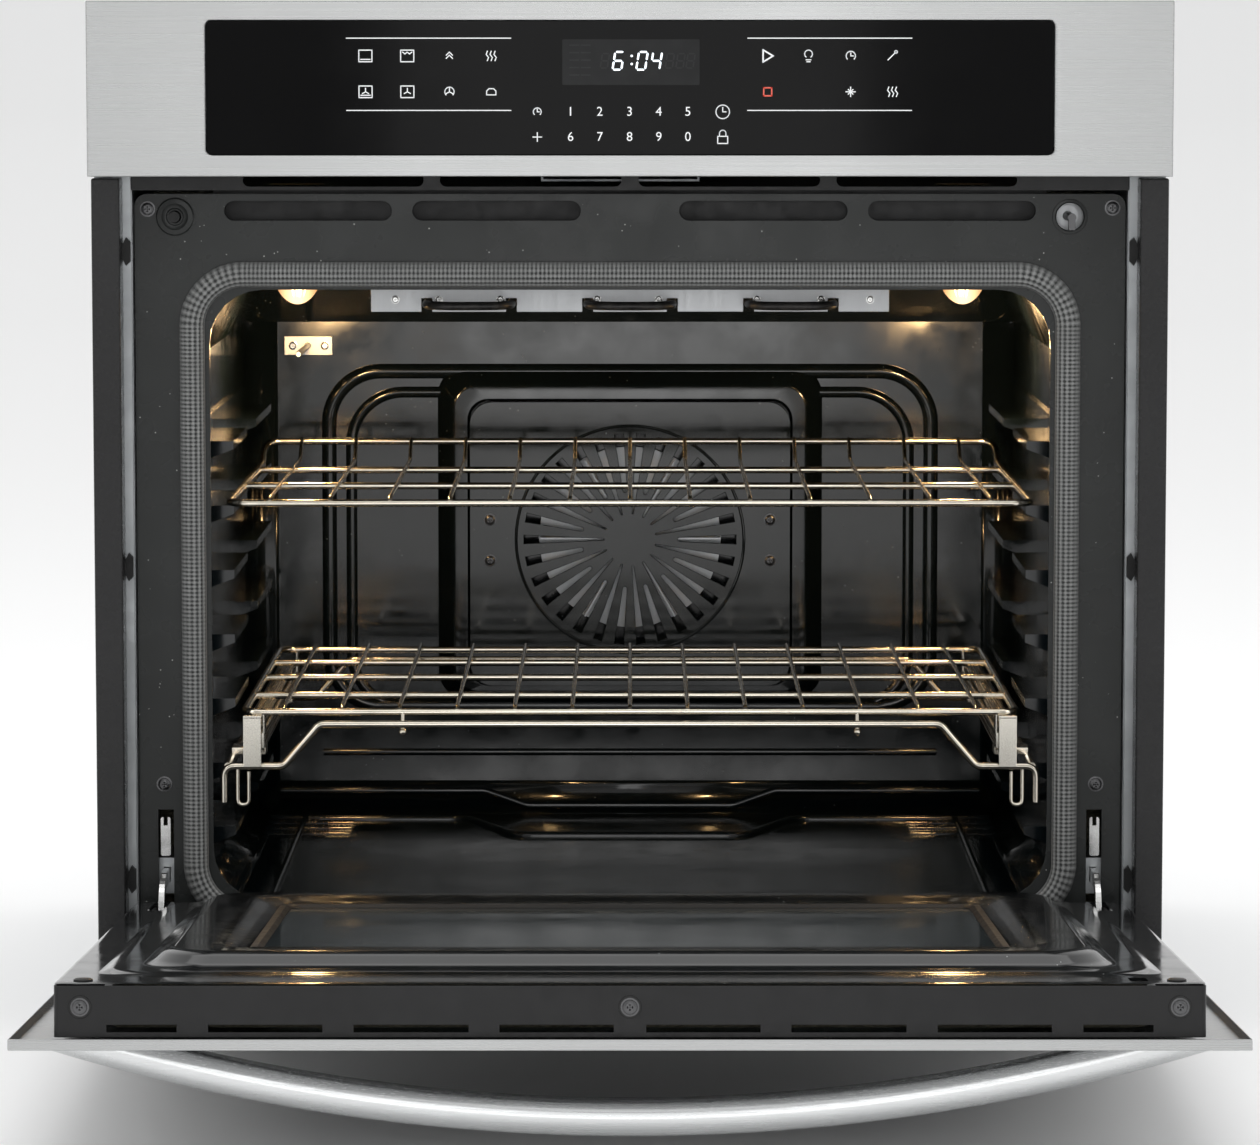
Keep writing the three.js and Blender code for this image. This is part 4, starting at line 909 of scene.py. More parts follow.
SCREEN_EDGES = (-47.4, 48.7, 677.8, 709.6)
TIME_DIGITS = (("6", -8.2), ("0", 8.4), ("4", 18.4))
COLON = (0.4, 2.0)
COLON_DOTS = (-2.2, 3.4)
UNLIT_DIGITS = (-17.6, 27.9, 35.4, 42.4)
UNLIT_BARS = (-42.0, -34.0)
UNLIT_BAR_LENGTH = 6.0
UNLIT_BAR_PITCH = 5.2
UNLIT_BAR_TOP = 705.5


def make_display():
    """The dark screen, the lit time and the faint bars and digits that are off."""
    screen = bmesh.new()
    add_rounded_print(screen, rounded_rect(*SCREEN_EDGES, 0.6, 2))
    piece_from_mesh(screen, "display_window", SCREEN, "root")
    lit = bmesh.new()
    for digit, x in TIME_DIGITS:
        add_segments(lit, digit, x, 3.1, 1.35)
    for height in COLON_DOTS:
        z = DISPLAY_Z + height
        add_rounded_print(lit, rounded_rect(*COLON, z - 0.8, z + 0.8, 0.7, 4))
    shift_forward(lit, 0.15)
    piece_from_mesh(lit, "display_digits", DIGIT, "root")
    ghost = bmesh.new()
    for x in UNLIT_DIGITS:
        add_segments(ghost, "8", x, 2.5, 1.0)
    for row in range(5):
        z = UNLIT_BAR_TOP - row * UNLIT_BAR_PITCH
        for x in UNLIT_BARS:
            add_stroke(ghost, [(x, z), (x + UNLIT_BAR_LENGTH, z)], 1.0)
    shift_forward(ghost, 0.1)
    piece_from_mesh(ghost, "display_unlit_digits", GHOST, "root")


def shift_forward(bm, distance):
    bmesh.ops.translate(bm, vec=(0, -distance * MM, 0), verts=bm.verts)


# ---- front of the oven ----

STITCH = 1.5
STITCH_SWELL = 0.42
RIB_SWELL = 0.55
SEAL_POINTS = 16


def along_outline(outline, step):
    """Evenly spaced points around a closed outline, an even number of them."""
    path = []
    for (x0, z0), (x1, z1) in zip(outline, outline[1:] + outline[:1]):
        steps = max(1, round(math.hypot(x1 - x0, z1 - z0) / step))
        path += [(x0 + (x1 - x0) * i / steps, z0 + (z1 - z0) * i / steps) for i in range(steps)]
    return path[:len(path) - len(path) % 2]


def seal_section(row, out, place, back, breadth, height):
    """Half a tube: cross stitches on the outer side and lengthwise ribs on the inner side.

    Returns its points, and how far each one stands proud, for the painted shade in the hollows and the painted
    light on the crests of the seal.
    """
    loop, heights = [], []
    for k in range(SEAL_POINTS):
        angle = math.pi * k / (SEAL_POINTS - 1)
        stitch = STITCH_SWELL if row % 2 else -STITCH_SWELL
        rib = -RIB_SWELL if k % 2 else RIB_SWELL
        blend = 0.5 + 0.5 * math.cos(angle)
        swell = (stitch * (0.35 + 0.65 * blend) + rib * (1 - blend)) * math.sin(angle)
        across = math.cos(angle) * (breadth - 0.4 + swell)
        lift = math.sin(angle) * (height - 0.8 + swell)
        loop.append((place[0] + out.x * across, back - lift, place[1] + out.y * across))
        heights.append(0.5 + swell)
    return loop, heights


def make_gasket():
    """The woven seal, clipped to the face around the mouth."""
    low, high = box_mm("gasket")
    height = high.y - low.y
    breadth = GASKET_HALF_BREADTH
    half = high.x - breadth
    outline = rounded_rect(-half, half, low.z + breadth, high.z - breadth, GASKET_RADIUS, 26)
    path = along_outline(outline, STITCH)
    loops, crest_shading = [], []
    for i, place in enumerate(path):
        before, after = path[i - 1], path[(i + 1) % len(path)]
        along = Vector((after[0] - before[0], after[1] - before[1])).normalized()
        out = Vector((along.y, -along.x))
        loop, heights = seal_section(i, out, place, high.y, breadth, height)
        loops.append(loop)
        crest_shading += heights
    bm = bmesh.new()
    add_loops(bm, loops, closed_run=True)
    seal = piece_from_mesh(bm, "gasket_rope", ROPE, "root", 180)
    # How far each point stands proud, which the seal's colour turns into painted shade in the hollows and painted
    # light on the crests.
    seal.data.attributes.new("crest_shading", "FLOAT", "POINT").data.foreach_set("value", crest_shading)
    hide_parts("gasket")


FACE_SCREWS = ((-343.5, 589.5), (343.5, 590.3), (-335.0, 176.6), (335.0, 176.6))
CLIP_HEIGHTS = (559.8, 334.9, 109.8)
SWITCH_BEZEL = (
    (13.6, 0.0), (13.6, 1.2), (12.6, 2.2), (9.5, 2.6), (8.2, 1.9), (6.4, 1.9), (5.6, 2.8), (4.6, 2.8),
    (4.6, -2.0), (13.6, -2.0),
)
LATCH_RIM = ((12.6, 0.0), (12.3, 0.7), (10.6, 0.9), (9.8, 0.2), (9.8, -1.5), (12.6, -1.5))
OUTWARD = (0, -1, 0)


def make_face_fittings():
    front = FACE_FRONT
    screws = bmesh.new()
    for x, z in FACE_SCREWS:
        add_screw(screws, (x, front, z), OUTWARD, 5.6, 2.4)
    piece_from_mesh(screws, "face_screws", SCREW_BLACK, "root")
    low, high = box_mm("door_switch_plunger")
    bezel = bmesh.new()
    centre = ((low.x + high.x) / 2, front, (low.z + high.z) / 2)
    add_open_ring(bezel, SWITCH_BEZEL, centre, OUTWARD, 32)
    piece_from_mesh(bezel, "switch_bezel", FACE_ENAMEL, "root")
    low, high = box_mm("latch_hook")
    rim = bmesh.new()
    add_open_ring(rim, LATCH_RIM, ((low.x + high.x) / 2, front, high.z - 3.0), OUTWARD, 32)
    piece_from_mesh(rim, "latch_rim", FACE_ENAMEL, "root")
    clips = bmesh.new()
    rail = box_mm("mounting_rail_right")[0].x
    for side in (-1, 1):
        for height in CLIP_HEIGHTS:
            add_clip(clips, side, rail, height)
    piece_from_mesh(clips, "trim_clips", SOFT_BLACK, "root")


def add_open_ring(bm, profile, place, axis, steps):
    """A turned ring whose section is a closed loop of radius and height."""
    axis, side, other = axes_across(axis)
    loops = []
    for a in turn(steps):
        ray = side * math.cos(a) + other * math.sin(a)
        loops.append([Vector(place) + axis * h + ray * r for r, h in profile])
    add_loops(bm, loops, closed_run=True)


def add_clip(bm, side, rail, height):
    """A black clip with pointed ends that spans the strip between trim and face."""
    inner, outer = rail + 0.4, rail + 6.0
    outline = [(inner, -7), (inner + 3, -10), (outer, -5), (outer, 5), (inner + 3, 10), (inner, 7)]
    front = [(side * x, -7.0, height + z) for x, z in outline]
    back = [(side * x, -1.9, height + z) for x, z in outline]
    add_loops(bm, [front, back])


# ---- inside the cavity ----

RIDGE_FOOT = 170.0
DUCT_FOOT = 176.0


def quarter_arc(reach, level, radius, bend, steps=10):
    """A quarter circle that ends in two planes: bend is 1 below the level and -1 above it."""
    return [
        (reach - radius + radius * math.sin(a), level - bend * radius + bend * radius * math.cos(a))
        for a in (math.radians(90 * i / steps) for i in range(steps + 1))
    ]


def make_cavity_corners(side, wall, floor):
    """Rounded corners where the cavity's walls and floor meet."""
    front, top, radius = 40.0, 483.0, 24.0
    fillets = bmesh.new()
    for sign in (-1, 1):
        upright = [[(sign * x, y, z) for x, y in quarter_arc(side, wall, radius, 1)] for z in (floor, top)]
        add_loops(fillets, upright, closed_loop=False)
        lying = [[(sign * x, y, z) for x, z in quarter_arc(side, floor, radius, -1)] for y in (front, wall)]
        add_loops(fillets, lying, closed_loop=False)
    back = [[(x, y, z) for y, z in quarter_arc(wall, floor, radius, -1)] for x in (-side, side)]
    add_loops(fillets, back, closed_loop=False)
    corners = piece_from_mesh(fillets, "cavity_corners", CAVITY_ENAMEL, "root")
    thicken(corners, 0.3)


# Half width, top and bead radius of each frame pressed around the fan.
RIDGES = ((244.0, 443.0, 6.0), (226.0, 426.0, 4.5))
BROW = ((-284, 102), (-118, 102), (-84, 90), (84, 90), (118, 102), (284, 102))


def make_wall_ridges(wall):
    """Beads pressed into the back wall, and the brow in front of it that carries the floor."""
    ridges = bmesh.new()
    for half, crest, bead in RIDGES:
        ring = rounded_rect(-half, half, RIDGE_FOOT, crest, 42, 12)
        add_tube(ridges, [(x, wall, z) for x, z in ring], bead, 14, closed=True)
    add_tube(ridges, rounded_path([(-250, wall, 132), (250, wall, 132)], 5), 3.0, 10)
    brow = rounded_path(BROW, 16, 6, flat=True)
    add_tube(ridges, [(x, wall - 14, z) for x, z in brow], 3.2, 12)
    piece_from_mesh(ridges, "back_wall_ridges", CAVITY_ENAMEL, "root", 60)


def make_fan_duct(wall):
    """The raised panel that the fan cover sits in."""
    inner = COVER_HIGH.x + 0.6
    low, high = COVER_LOW.z - 0.6, COVER_HIGH.z + 0.6
    front = COVER_LOW.y + 9.0
    stations = [
        (157.0, DUCT_FOOT, 447.0, 22.0, wall), (143.0, DUCT_FOOT + 8, 433.0, 18.0, front),
        (inner, low, high, 17.0, front), (inner, low, high, 17.0, wall),
    ]
    duct = bmesh.new()
    add_rect_ring(duct, soften(stations, 2.5), 10)
    piece_from_mesh(duct, "fan_duct", CAVITY_ENAMEL, "root")


def make_cavity_relief():
    """Pressed shapes of the cavity, just clear of the sheet that they belong to."""
    wall = BACK_WALL - 0.4
    make_cavity_corners(SIDE_WALL - 0.4, wall, FLOOR + 0.4)
    make_wall_ridges(wall)
    make_fan_duct(wall)


TROUGH = ((-250, 470), (-130, 470), (-92, 380), (92, 380), (130, 470), (250, 470))
SIDE_BEAD = 262
CORNER_BEADS = (222, 290)
CORNER_BEAD_PLACES = (390.0, 420.0, 450.0, 480.0)
# Two corners of the dark sheet of painted shade behind the vent slots.
SLOT_SHADE_SHEET = ((-298, 30, 572), (298, 31, 604))


def make_floor_press():
    """Beads pressed into the cavity floor."""
    bm = bmesh.new()
    path = rounded_path([(x, y, FLOOR) for x, y in TROUGH], 22, 8)
    add_tube(bm, path, 4.0)
    for side in (-1, 1):
        add_tube(bm, [(side * SIDE_BEAD, y, FLOOR) for y in (70, 500)], 3.0, 10)
    for side in (-1, 1):
        for y in CORNER_BEAD_PLACES:
            add_tube(bm, [(side * x, y, FLOOR - 0.8) for x in CORNER_BEADS], 3.4, 14)
    piece_from_mesh(bm, "floor_press", CAVITY_ENAMEL, "root", 60)


def make_slot_shade_sheet():
    """A dark sheet behind the face's vent slots: painted shade, standing in for the dark inside the vent."""
    shade_sheet = bmesh.new()
    add_box(shade_sheet, *SLOT_SHADE_SHEET, 0.3)
    piece_from_mesh(shade_sheet, "slot_shade_sheet", BLACK, "root")


SUN_SLOTS = 30
HUB_RADIUS = 20.0
SUN_RADIUS = 86.0
BEAD_CIRCLE = 92.0
BRACKET_SCREWS = (-172, -140, -95, -24, 21, 93, 140, 176)


def sun_slot(index):
    """A tapering slot, round at the hub end. Every other one starts further out."""
    start = HUB_RADIUS + (1.5 if index % 2 else 20.0)
    near, far = (1.0, 3.9) if index % 2 else (2.0, 4.1)
    points = arc_points(start, 0.0, near, 90, 270, 6)
    points += [(SUN_RADIUS, -far), (SUN_RADIUS, far)]
    angle = 2 * math.pi * index / SUN_SLOTS
    c, s = math.cos(angle), math.sin(angle)
    return [(x * c - z * s, x * s + z * c + FAN_Z) for x, z in points]


def make_fan_cover():
    half = COVER_HIGH.x
    front = COVER_LOW.y
    outline = rounded_rect(-half, half, COVER_LOW.z, COVER_HIGH.z, 18, 8)
    bm = plate_with_holes(outline, [sun_slot(i) for i in range(SUN_SLOTS)], front, 1.6, 0.4)
    outside = (half, COVER_LOW.z, COVER_HIGH.z, 18)
    inside = (half - 1.5, COVER_LOW.z + 1.5, COVER_HIGH.z - 1.5, 16.5)
    ends = (front + 0.9, COVER_HIGH.y)
    skirt = [(*outside, ends[0]), (*outside, ends[1]), (*inside, ends[1]), (*inside, ends[0])]
    add_rect_ring(bm, skirt, 8)
    circle = [(BEAD_CIRCLE * math.cos(a), front, FAN_Z + BEAD_CIRCLE * math.sin(a)) for a in turn(72)]
    add_tube(bm, circle, 1.3, 10, closed=True)
    cover = piece_from_mesh(bm, "fan_cover_pressed", CAVITY_ENAMEL, "root")
    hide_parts("fan_cover")
    screws = bmesh.new()
    for x in (-113.0, 113.0):
        for z in (FAN_Z + 16, FAN_Z - 17):
            add_screw(screws, (x, front, z), OUTWARD, 5.0, 2.6)
    piece_from_mesh(screws, "fan_cover_screws", SCREW_BLACK, "root")


def make_cavity_screws():
    """The bright screws of the broil bracket and of the temperature sensor."""
    screws = bmesh.new()
    bar = box_mm("broil_bracket")[0]
    for x in BRACKET_SCREWS:
        add_screw(screws, (x, bar.y, bar.z + 9.0), OUTWARD, 3.0, 1.6)
    low, high = box_mm("temperature_sensor")
    for x in (low.x + 7.0, high.x - 6.0):
        add_screw(screws, (x, high.y - 1.6, (low.z + high.z) / 2), OUTWARD, 3.6, 2.2)
    piece_from_mesh(screws, "cavity_screws", PLATED, "root")


LAMP_RIBS = 24
LAMP_STEPS = 96
LAMP_RADIUS = 20.0
LAMP_DEPTH = 34.0
LAMP_RING = ((20.8, 0), (26.0, 0), (26.0, -2.5), (23.5, -4.0), (20.8, -3.2))
CAVITY_ROOF = 544.7


def lamp_loop(x, y, low, angle):
    """One level of a dome: angle 0 is its lowest point and a right angle its rim."""
    radius = LAMP_RADIUS * math.sin(angle)
    loop = []
    for a in turn(LAMP_STEPS):
        r = radius + 0.5 * math.sin(angle) * math.cos(LAMP_RIBS * a)
        loop.append((x + r * math.cos(a), y + r * math.sin(a), low + LAMP_DEPTH * (1 - math.cos(angle))))
    return loop


def make_lamps():
    """A ribbed glass dome in a bright ring, on each side of the roof."""
    for name in ("left", "right"):
        low, high = box_mm(f"lamp_{name}")
        x, y = (low.x + high.x) / 2, (low.y + high.y) / 2
        dome = bmesh.new()
        loops = [lamp_loop(x, y, low.z, math.pi / 2 * i / 14) for i in range(15)]
        add_loops(dome, loops, caps=False)
        shade = piece_from_mesh(dome, f"lamp_dome_{name}", LAMP, "root", 60)
        thicken(shade, 0.8)
        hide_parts(f"lamp_{name}")
        ring = bmesh.new()
        add_open_ring(ring, LAMP_RING, (x, y, CAVITY_ROOF), (0, 0, 1), 40)
        piece_from_mesh(ring, f"lamp_ring_{name}", PLATED, "root")


BROIL_PASSES = (-149, -87, -31, 31, 87, 149)
BROIL_REAR = 461.0
ROD_RADIUS = 3.4


def make_broil_element():
    low, high = box_mm("broil_element")
    z = (low.z + high.z) / 2
    front, rear = low.y + ROD_RADIUS, BROIL_REAR
    points = [(BROIL_PASSES[0], high.y, z)]
    for i, x in enumerate(BROIL_PASSES):
        if i % 2 == 0:
            points += [(x, front, z), (BROIL_PASSES[i + 1], front, z)]
        elif i + 1 < len(BROIL_PASSES):
            points += [(x, rear, z), (BROIL_PASSES[i + 1], rear, z)]
    points.append((BROIL_PASSES[-1], high.y, z))
    bm = bmesh.new()
    add_tube(bm, rounded_path(points, 30, 14), ROD_RADIUS - 0.2, 14)
    element = piece_from_mesh(bm, "broil_rod", SHEATH, "root", 60)
    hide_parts("broil_element")


# ---- racks ----

THICK_WIRE = 2.7
THIN_WIRE = 1.55
WIRE_COUNT = 13
THIN_ABOVE_THICK = THICK_WIRE + THIN_WIRE - 0.5
UPPER_PITCH = 43.4
UPPER_CROSS_WIRES = (203.0, 355.0)
GLIDE_PITCH = 41.6
GLIDE_CROSS_WIRES = (130.0, 243.0, 340.0)
GLIDE_STOPS = (-164.0, 164.0)
GLIDE_FRONT = 30.0
STOP_BEAD = ((0, -2.9), (2.0, -2.1), (2.9, 0), (2.0, 2.1), (0, 2.9))
BASE_HALF = 290.0
BASE_LEVEL = 188.0
BASE_SADDLES = (70.0, 380.0)
HOOK = ((283, BASE_LEVEL), (283, 160), (275, 160), (275, BASE_LEVEL - 4))


def add_grid_wires(bm, pitch, profile, fillet):
    """The thin wires from front to back, all with the same profile of Y and Z."""
    for i in range(WIRE_COUNT):
        x = (i - (WIRE_COUNT - 1) / 2) * pitch
        add_tube(bm, rounded_path([(x, y, z) for y, z in profile], fillet, 4), THIN_WIRE, 10)


def add_rim(bm, corners, fillet):
    """The thick wire around a rack, from the middle of its front and back to it."""
    start = (0, *corners[0][1:])
    path = rounded_path([start, *corners, start], fillet, 7)[:-1]
    add_tube(bm, path, THICK_WIRE, 14, closed=True)


def add_cross_wires(bm, half, z, places):
    for y in places:
        add_tube(bm, [(-half, y, z), (half, y, z)], THICK_WIRE)


def make_upper_rack():
    low, high = box_mm("upper_rack")
    half = high.x - THICK_WIRE
    z, lip = low.z + THICK_WIRE, high.z - 3.4
    front, back = low.y + THICK_WIRE, high.y - THICK_WIRE
    kick = back - 25
    bm = bmesh.new()
    sides = [(half, front, z), (half, kick, z), (half, back, lip)]
    add_rim(bm, sides + [(-x, y, height) for x, y, height in reversed(sides)], 14)
    add_cross_wires(bm, half, z, UPPER_CROSS_WIRES)
    above = z + THIN_ABOVE_THICK
    profile = [(front - 1.5, above - 1.5), (front + 3, above), (kick, above), (back, lip + 2.2)]
    add_grid_wires(bm, UPPER_PITCH, profile, 8)
    rack = piece_from_mesh(bm, "upper_rack_wires", WIRE, "upper_rack", 60)
    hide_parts("upper_rack")


def make_glide_rack():
    high = box_mm("glide_rack")[1]
    z = high.z - 5.1
    half = high.x - THICK_WIRE
    front, back = GLIDE_FRONT, high.y - 4.0
    bm = bmesh.new()
    add_rim(bm, [(half, front, z), (half, back, z), (-half, back, z), (-half, front, z)], 12)
    add_cross_wires(bm, half, z, GLIDE_CROSS_WIRES)
    above = z + THIN_ABOVE_THICK
    profile = [(front - 1.5, above - 1.5), (front + 3, above), (back + 1.5, above)]
    add_grid_wires(bm, GLIDE_PITCH, profile, 6)
    for x in GLIDE_STOPS:
        add_tube(bm, [(x, front - 1, z), (x, front - 3, z - 12)], 1.6, 10)
        add_lathe(bm, STOP_BEAD, (x, front - 3, z - 14), (0, 0, 1), 16)
    rack = piece_from_mesh(bm, "glide_rack_wires", WIRE, "glide_rack", 60)
    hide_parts("glide_rack")
    make_glide_runners(front, back, z)


def make_glide_runners(front, back, z):
    """The inner members of the two slides, with the plates and tabs that carry the rack."""
    low, high = box_mm("slide_rail_right")
    member = (low.x - 2, high.x - 2)
    plate = (low.x - 0.5, high.x - 0.5)
    tab = (member[0] - 0.2, member[0] + 1.4)
    runners = bmesh.new()
    for side in (-1, 1):
        add_box(runners, *side_box(side, *member, front - 4, back - 10, low.z + 4, high.z - 4), 1.0)
        add_box(runners, *side_box(side, *plate, front - 13.5, front - 12.0, BASE_LEVEL, z - 1), 0.6)
        add_box(runners, *side_box(side, *plate, front - 13.5, front - 1, z - 3.5, z - 2), 0.5)
        for y in (front - 2, back - 18):
            add_box(runners, *side_box(side, *tab, y, y + 20, low.z + 4, z), 0.5)
    piece_from_mesh(runners, "glide_runners", SLIDE_STEEL, "glide_rack")


def make_glide_base():
    low, high = box_mm("glide_base")
    z, rise = BASE_LEVEL, high.z - THICK_WIRE
    front, back = low.y + THICK_WIRE, high.y - THICK_WIRE
    bm = bmesh.new()
    for y, end, foot in ((front, BASE_HALF + 3, True), (back, BASE_HALF, False)):
        hump = [(-end, y, z), (-250, y, z), (-224, y, rise), (224, y, rise), (250, y, z), (end, y, z)]
        if foot:
            hump = [(-end, y, 162), *hump, (end, y, 162)]
        add_tube(bm, rounded_path(hump, 8), THICK_WIRE, 14)
    for side in (-1, 1):
        add_tube(bm, [(side * BASE_HALF, y, z) for y in (front, back)], THICK_WIRE)
        hook = rounded_path([(side * x, front, height) for x, height in HOOK], 4)
        add_tube(bm, hook, 1.5, 10)
        for y in BASE_SADDLES:
            add_box(bm, *side_box(side, 266, 291, y, y + 24, z + 2, 195.5), 0.6)
    base = piece_from_mesh(bm, "glide_base_wires", WIRE, "glide_base", 60)
    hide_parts("glide_base")


# ---- door ----

SHEET = 1.5
RIDGE_TOP = shut_box("door_liner")[1].y
LINER_SECTION = (
    (353.2, 48.3, 599.7, 3, 1), (329, 65, 558, 30, 1), (326, 68, 555, 28, 3), (303, 89, 535, 36, 3),
    (292, 100, 524, 32, RIDGE_TOP), (262, 130, 494, 22, RIDGE_TOP), (248, 144, 480, 16, 8),
    (238, 154, 470, 12, 8), (238, 154, 470, 12, 8 - SHEET), (249.2, 142.8, 481.2, 17, 8 - SHEET),
    (263.2, 128.8, 495.2, 23, RIDGE_TOP - SHEET), (290.8, 101.2, 522.8, 31, RIDGE_TOP - SHEET),
    (301.8, 90.2, 533.8, 35, 3 - SHEET), (324.8, 69.2, 553.8, 27, 3 - SHEET),
    (327.8, 66.2, 556.8, 29, 1 - SHEET), (353.2, 48.3, 599.7, 3, 1 - SHEET),
)


# The holes in the liner for both hinge arms and for the latch hook.
HINGE_SLOTS = tuple(side_box(side, 328.5, 339.5, -3, 6, 52, 119) for side in (-1, 1))
LINER_SLOTS = (*HINGE_SLOTS, side_box(1, 307.7, 318.7, -3, 4, 571.5, 590.5))


def make_door_liner():
    bm = bmesh.new()
    add_rect_ring(bm, soften(soften(LINER_SECTION, 4.5), 1.6), 14, SHUT_TO_OPEN)
    liner = piece_from_mesh(bm, "door_liner_pressed", DOOR_ENAMEL, "door", 38)
    cut_boxes(liner, LINER_SLOTS, SHUT_TO_OPEN)
    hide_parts("door_liner")


END_SCREWS = (-337.3, 0.0, 337.3)
END_SCREW_Y = -14.0
BUMPER_PLACES = ((-336.4, 1.0, 588.0), (336.4, 1.0, 588.0))
# Dark rings around the door's end screws: painted shade, standing in for the dark recess around each screw.
END_SCREW_SHADE_RING = ((5.6, 0.0), (7.2, 0.0), (7.0, 0.5), (5.7, 0.5))
BUMPER = ((6.0, 0.0), (6.0, 0.8), (4.6, 1.5), (0.0, 1.6))
PANE_SEAL = (
    (243.5, 148.5, 475.5, 10, 8.2), (239.0, 153, 471, 9, 8.6), (236.0, 156, 468, 8, 6.4),
    (243.5, 148.5, 475.5, 10, 6.6),
)


def door_piece(bm, name, material):
    """A piece drawn with the door shut, and turned to where the open door has it."""
    bm.transform(SHUT_TO_OPEN)
    return piece_from_mesh(bm, name, material, "door")


def make_door_fittings():
    end_face = shut_box("door_box")[1].z
    screws, shade_rings = bmesh.new(), bmesh.new()
    for x in END_SCREWS:
        place = (x, END_SCREW_Y, end_face)
        add_screw(screws, place, (0, 0, 1), 5.8, 2.0)
        # A dark ring of painted shade around each screw.
        add_open_ring(shade_rings, END_SCREW_SHADE_RING, place, (0, 0, 1), 28)
    door_piece(shade_rings, "door_end_screw_shade_rings", SOFT_BLACK)
    door_piece(screws, "door_end_screws", SCREW_BLACK)
    bumpers = bmesh.new()
    for place in BUMPER_PLACES:
        add_lathe(bumpers, BUMPER, place, (0, 1, 0), 28)
    door_piece(bumpers, "door_bumpers", SOFT_BLACK)
    seal = bmesh.new()
    add_rect_ring(seal, PANE_SEAL, 10)
    door_piece(seal, "pane_seal", SOFT_BLACK)


HANDLE_HALF_SPAN = 334.0
HANDLE_STEPS = 90
HANDLE_SIDES = 40


def handle_loop(angle, bow, reach, face, z, radius):
    """The bar's section at an angle along its bow, flattened where it meets the door's face."""
    centre = Vector((bow * math.sin(angle), face - reach + bow * (1 - math.cos(angle)), z))
    out = Vector((math.sin(angle), -math.cos(angle), 0))
    loop = []
    for a in turn(HANDLE_SIDES):
        p = centre + out * radius * math.cos(a) + Vector((0, 0, radius * math.sin(a)))
        p.y = min(p.y, face - 0.3)
        loop.append(p)
    return loop


def make_handle():
    """The bowed bar, a round tube that runs into the skin at both ends."""
    low, high = shut_box("door_handle")
    radius = (high.z - low.z) / 2
    z = (low.z + high.z) / 2
    face = shut_box("door_skin")[0].y
    reach = face - low.y - radius
    bow = (HANDLE_HALF_SPAN ** 2 + reach ** 2) / (2 * reach)
    half_angle = math.asin(HANDLE_HALF_SPAN / bow) + 0.03
    angles = [-half_angle + 2 * half_angle * i / HANDLE_STEPS for i in range(HANDLE_STEPS + 1)]
    bm = bmesh.new()
    add_loops(bm, [handle_loop(angle, bow, reach, face, z, radius) for angle in angles])
    bmesh.ops.remove_doubles(bm, verts=bm.verts, dist=2e-5)
    bmesh.ops.dissolve_degenerate(bm, dist=1e-6, edges=bm.edges)
    bm.transform(SHUT_TO_OPEN)
    bar = piece_from_mesh(bm, "door_handle_bar", HANDLE_STEEL, "door", 50)
    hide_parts("door_handle")


# ---- outside of the chassis ----

LOUVRE_PITCH = 15
LOUVRE_HEIGHT = 7.0
LOUVRE_DEPTH = 3.0
CHASSIS_SIDE = box_mm("chassis_right")[1].x
CHASSIS_REAR = box_mm("chassis_back")[1].y
CHASSIS_TOP = box_mm("chassis_top")[1].z - 31.6
TERMINAL_COVER = ((150, CHASSIS_REAR, 600), (325, CHASSIS_REAR + 9, 692))


def add_louvre(bm, centre, along, out, length):
    """A pressed louvre: a half-round hood, open on its lower side."""
    centre, along, out = Vector(centre), Vector(along), Vector(out)
    up = Vector((0, 0, 1))
    loops = []
    for i in range(13):
        t = -1 + 2 * i / 12
        swell = max(0.0, 1 - abs(t) ** 6)
        loop = []
        for k in range(7):
            a = math.pi / 2 * k / 6
            rise = up * (LOUVRE_HEIGHT * math.cos(a) - LOUVRE_HEIGHT / 2)
            lift = out * (LOUVRE_DEPTH * math.sin(a) * swell + 0.1)
            loop.append(centre + along * t * length / 2 + rise + lift)
        loops.append(loop)
    add_loops(bm, loops, closed_loop=False)


def make_louvres():
    louvres = bmesh.new()
    for side in (-1, 1):
        for column in (170.0, 430.0):
            for row in range(7):
                centre = (side * CHASSIS_SIDE, column, 560 + row * LOUVRE_PITCH)
                add_louvre(louvres, centre, (0, 1, 0), (side, 0, 0), 90.0)
    for column in (-190.0, 0.0):
        for row in range(9):
            centre = (column, CHASSIS_REAR, 540 + row * LOUVRE_PITCH)
            add_louvre(louvres, centre, (1, 0, 0), (0, 1, 0), 110.0)
    hoods = piece_from_mesh(louvres, "chassis_louvres", ZINC, "root")
    thicken(hoods, 0.8)


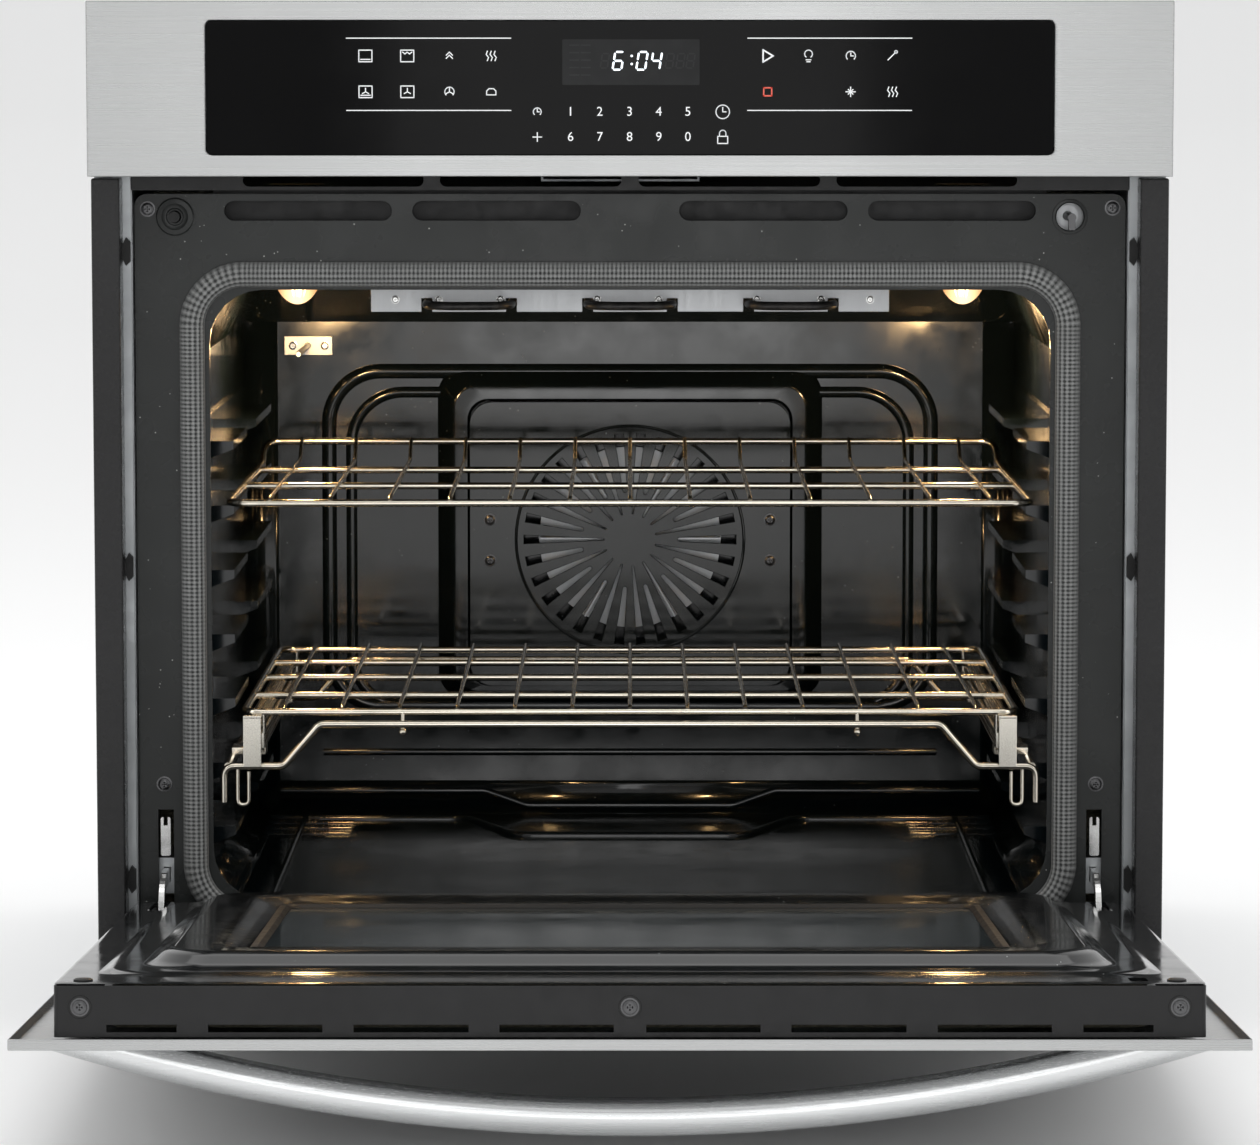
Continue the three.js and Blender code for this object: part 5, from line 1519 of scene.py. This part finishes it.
def make_chassis_ribs():
    """Stiffening beads in the chassis sheets, the seam strips and the terminal cover."""
    ribs = bmesh.new()
    for side in (-1, 1):
        x = side * (CHASSIS_SIDE - 2.0)
        for y in (120.0, 480.0):
            add_tube(ribs, [(x, y, 60), (x, y, 500)], 5.0, 14)
        seam = side_box(side, CHASSIS_SIDE, CHASSIS_SIDE + 1.2, 560.0, 585.0, 6.0, 698.0)
        add_box(ribs, *seam, 0.4)
    y = CHASSIS_REAR - 2.0
    for x in (-260.0, 260.0):
        add_tube(ribs, [(x, y, 60), (x, y, 480)], 5.0, 14)
    y = CHASSIS_REAR - 2.4
    for side in (1, -1):
        add_tube(ribs, [(-230 * side, y, 90), (230 * side, y, 460)], 4.4)
    z = CHASSIS_TOP - 2.0
    for x in (-220.0, 220.0):
        add_tube(ribs, [(x, 60, z), (x, 540, z)], 5.0, 14)
    add_box(ribs, *TERMINAL_COVER, 2.0)
    piece_from_mesh(ribs, "chassis_ribs", ZINC, "root")


def make_chassis_screws():
    screws = bmesh.new()
    for side in (-1, 1):
        out = (side, 0, 0)
        for z in (30, 190, 350, 510, 680):
            add_screw(screws, (side * (CHASSIS_SIDE + 1.2), 572, z), out, 4.2, 2.4)
            add_screw(screws, (side * CHASSIS_SIDE, 46, z), out, 4.2, 2.4)
            add_screw(screws, (side * 342, CHASSIS_REAR, z), (0, 1, 0), 4.2, 2.4)
    for x in (-120, 0, 120):
        for z in (686, 20):
            add_screw(screws, (x, CHASSIS_REAR, z), (0, 1, 0), 4.2, 2.4)
    for x, z in ((160, 610), (315, 610), (160, 682), (315, 682)):
        add_screw(screws, (x, CHASSIS_REAR + 9, z), (0, 1, 0), 3.6, 2.2)
    piece_from_mesh(screws, "chassis_screws", PLATED, "root")


# ---- everything ----

make_camera()
make_lights()
make_world()
make_floor()
finish_cad_nodes()
make_key_print()
make_display()
make_gasket()
make_face_fittings()
make_cavity_relief()
make_floor_press()
make_slot_shade_sheet()
make_fan_cover()
make_cavity_screws()
make_lamps()
make_broil_element()
make_upper_rack()
make_glide_rack()
make_glide_base()
make_door_liner()
make_door_fittings()
make_handle()
make_louvres()
make_chassis_ribs()
make_chassis_screws()

scene = bpy.context.scene
scene.view_settings.view_transform = "Standard"
scene.view_settings.look = "None"
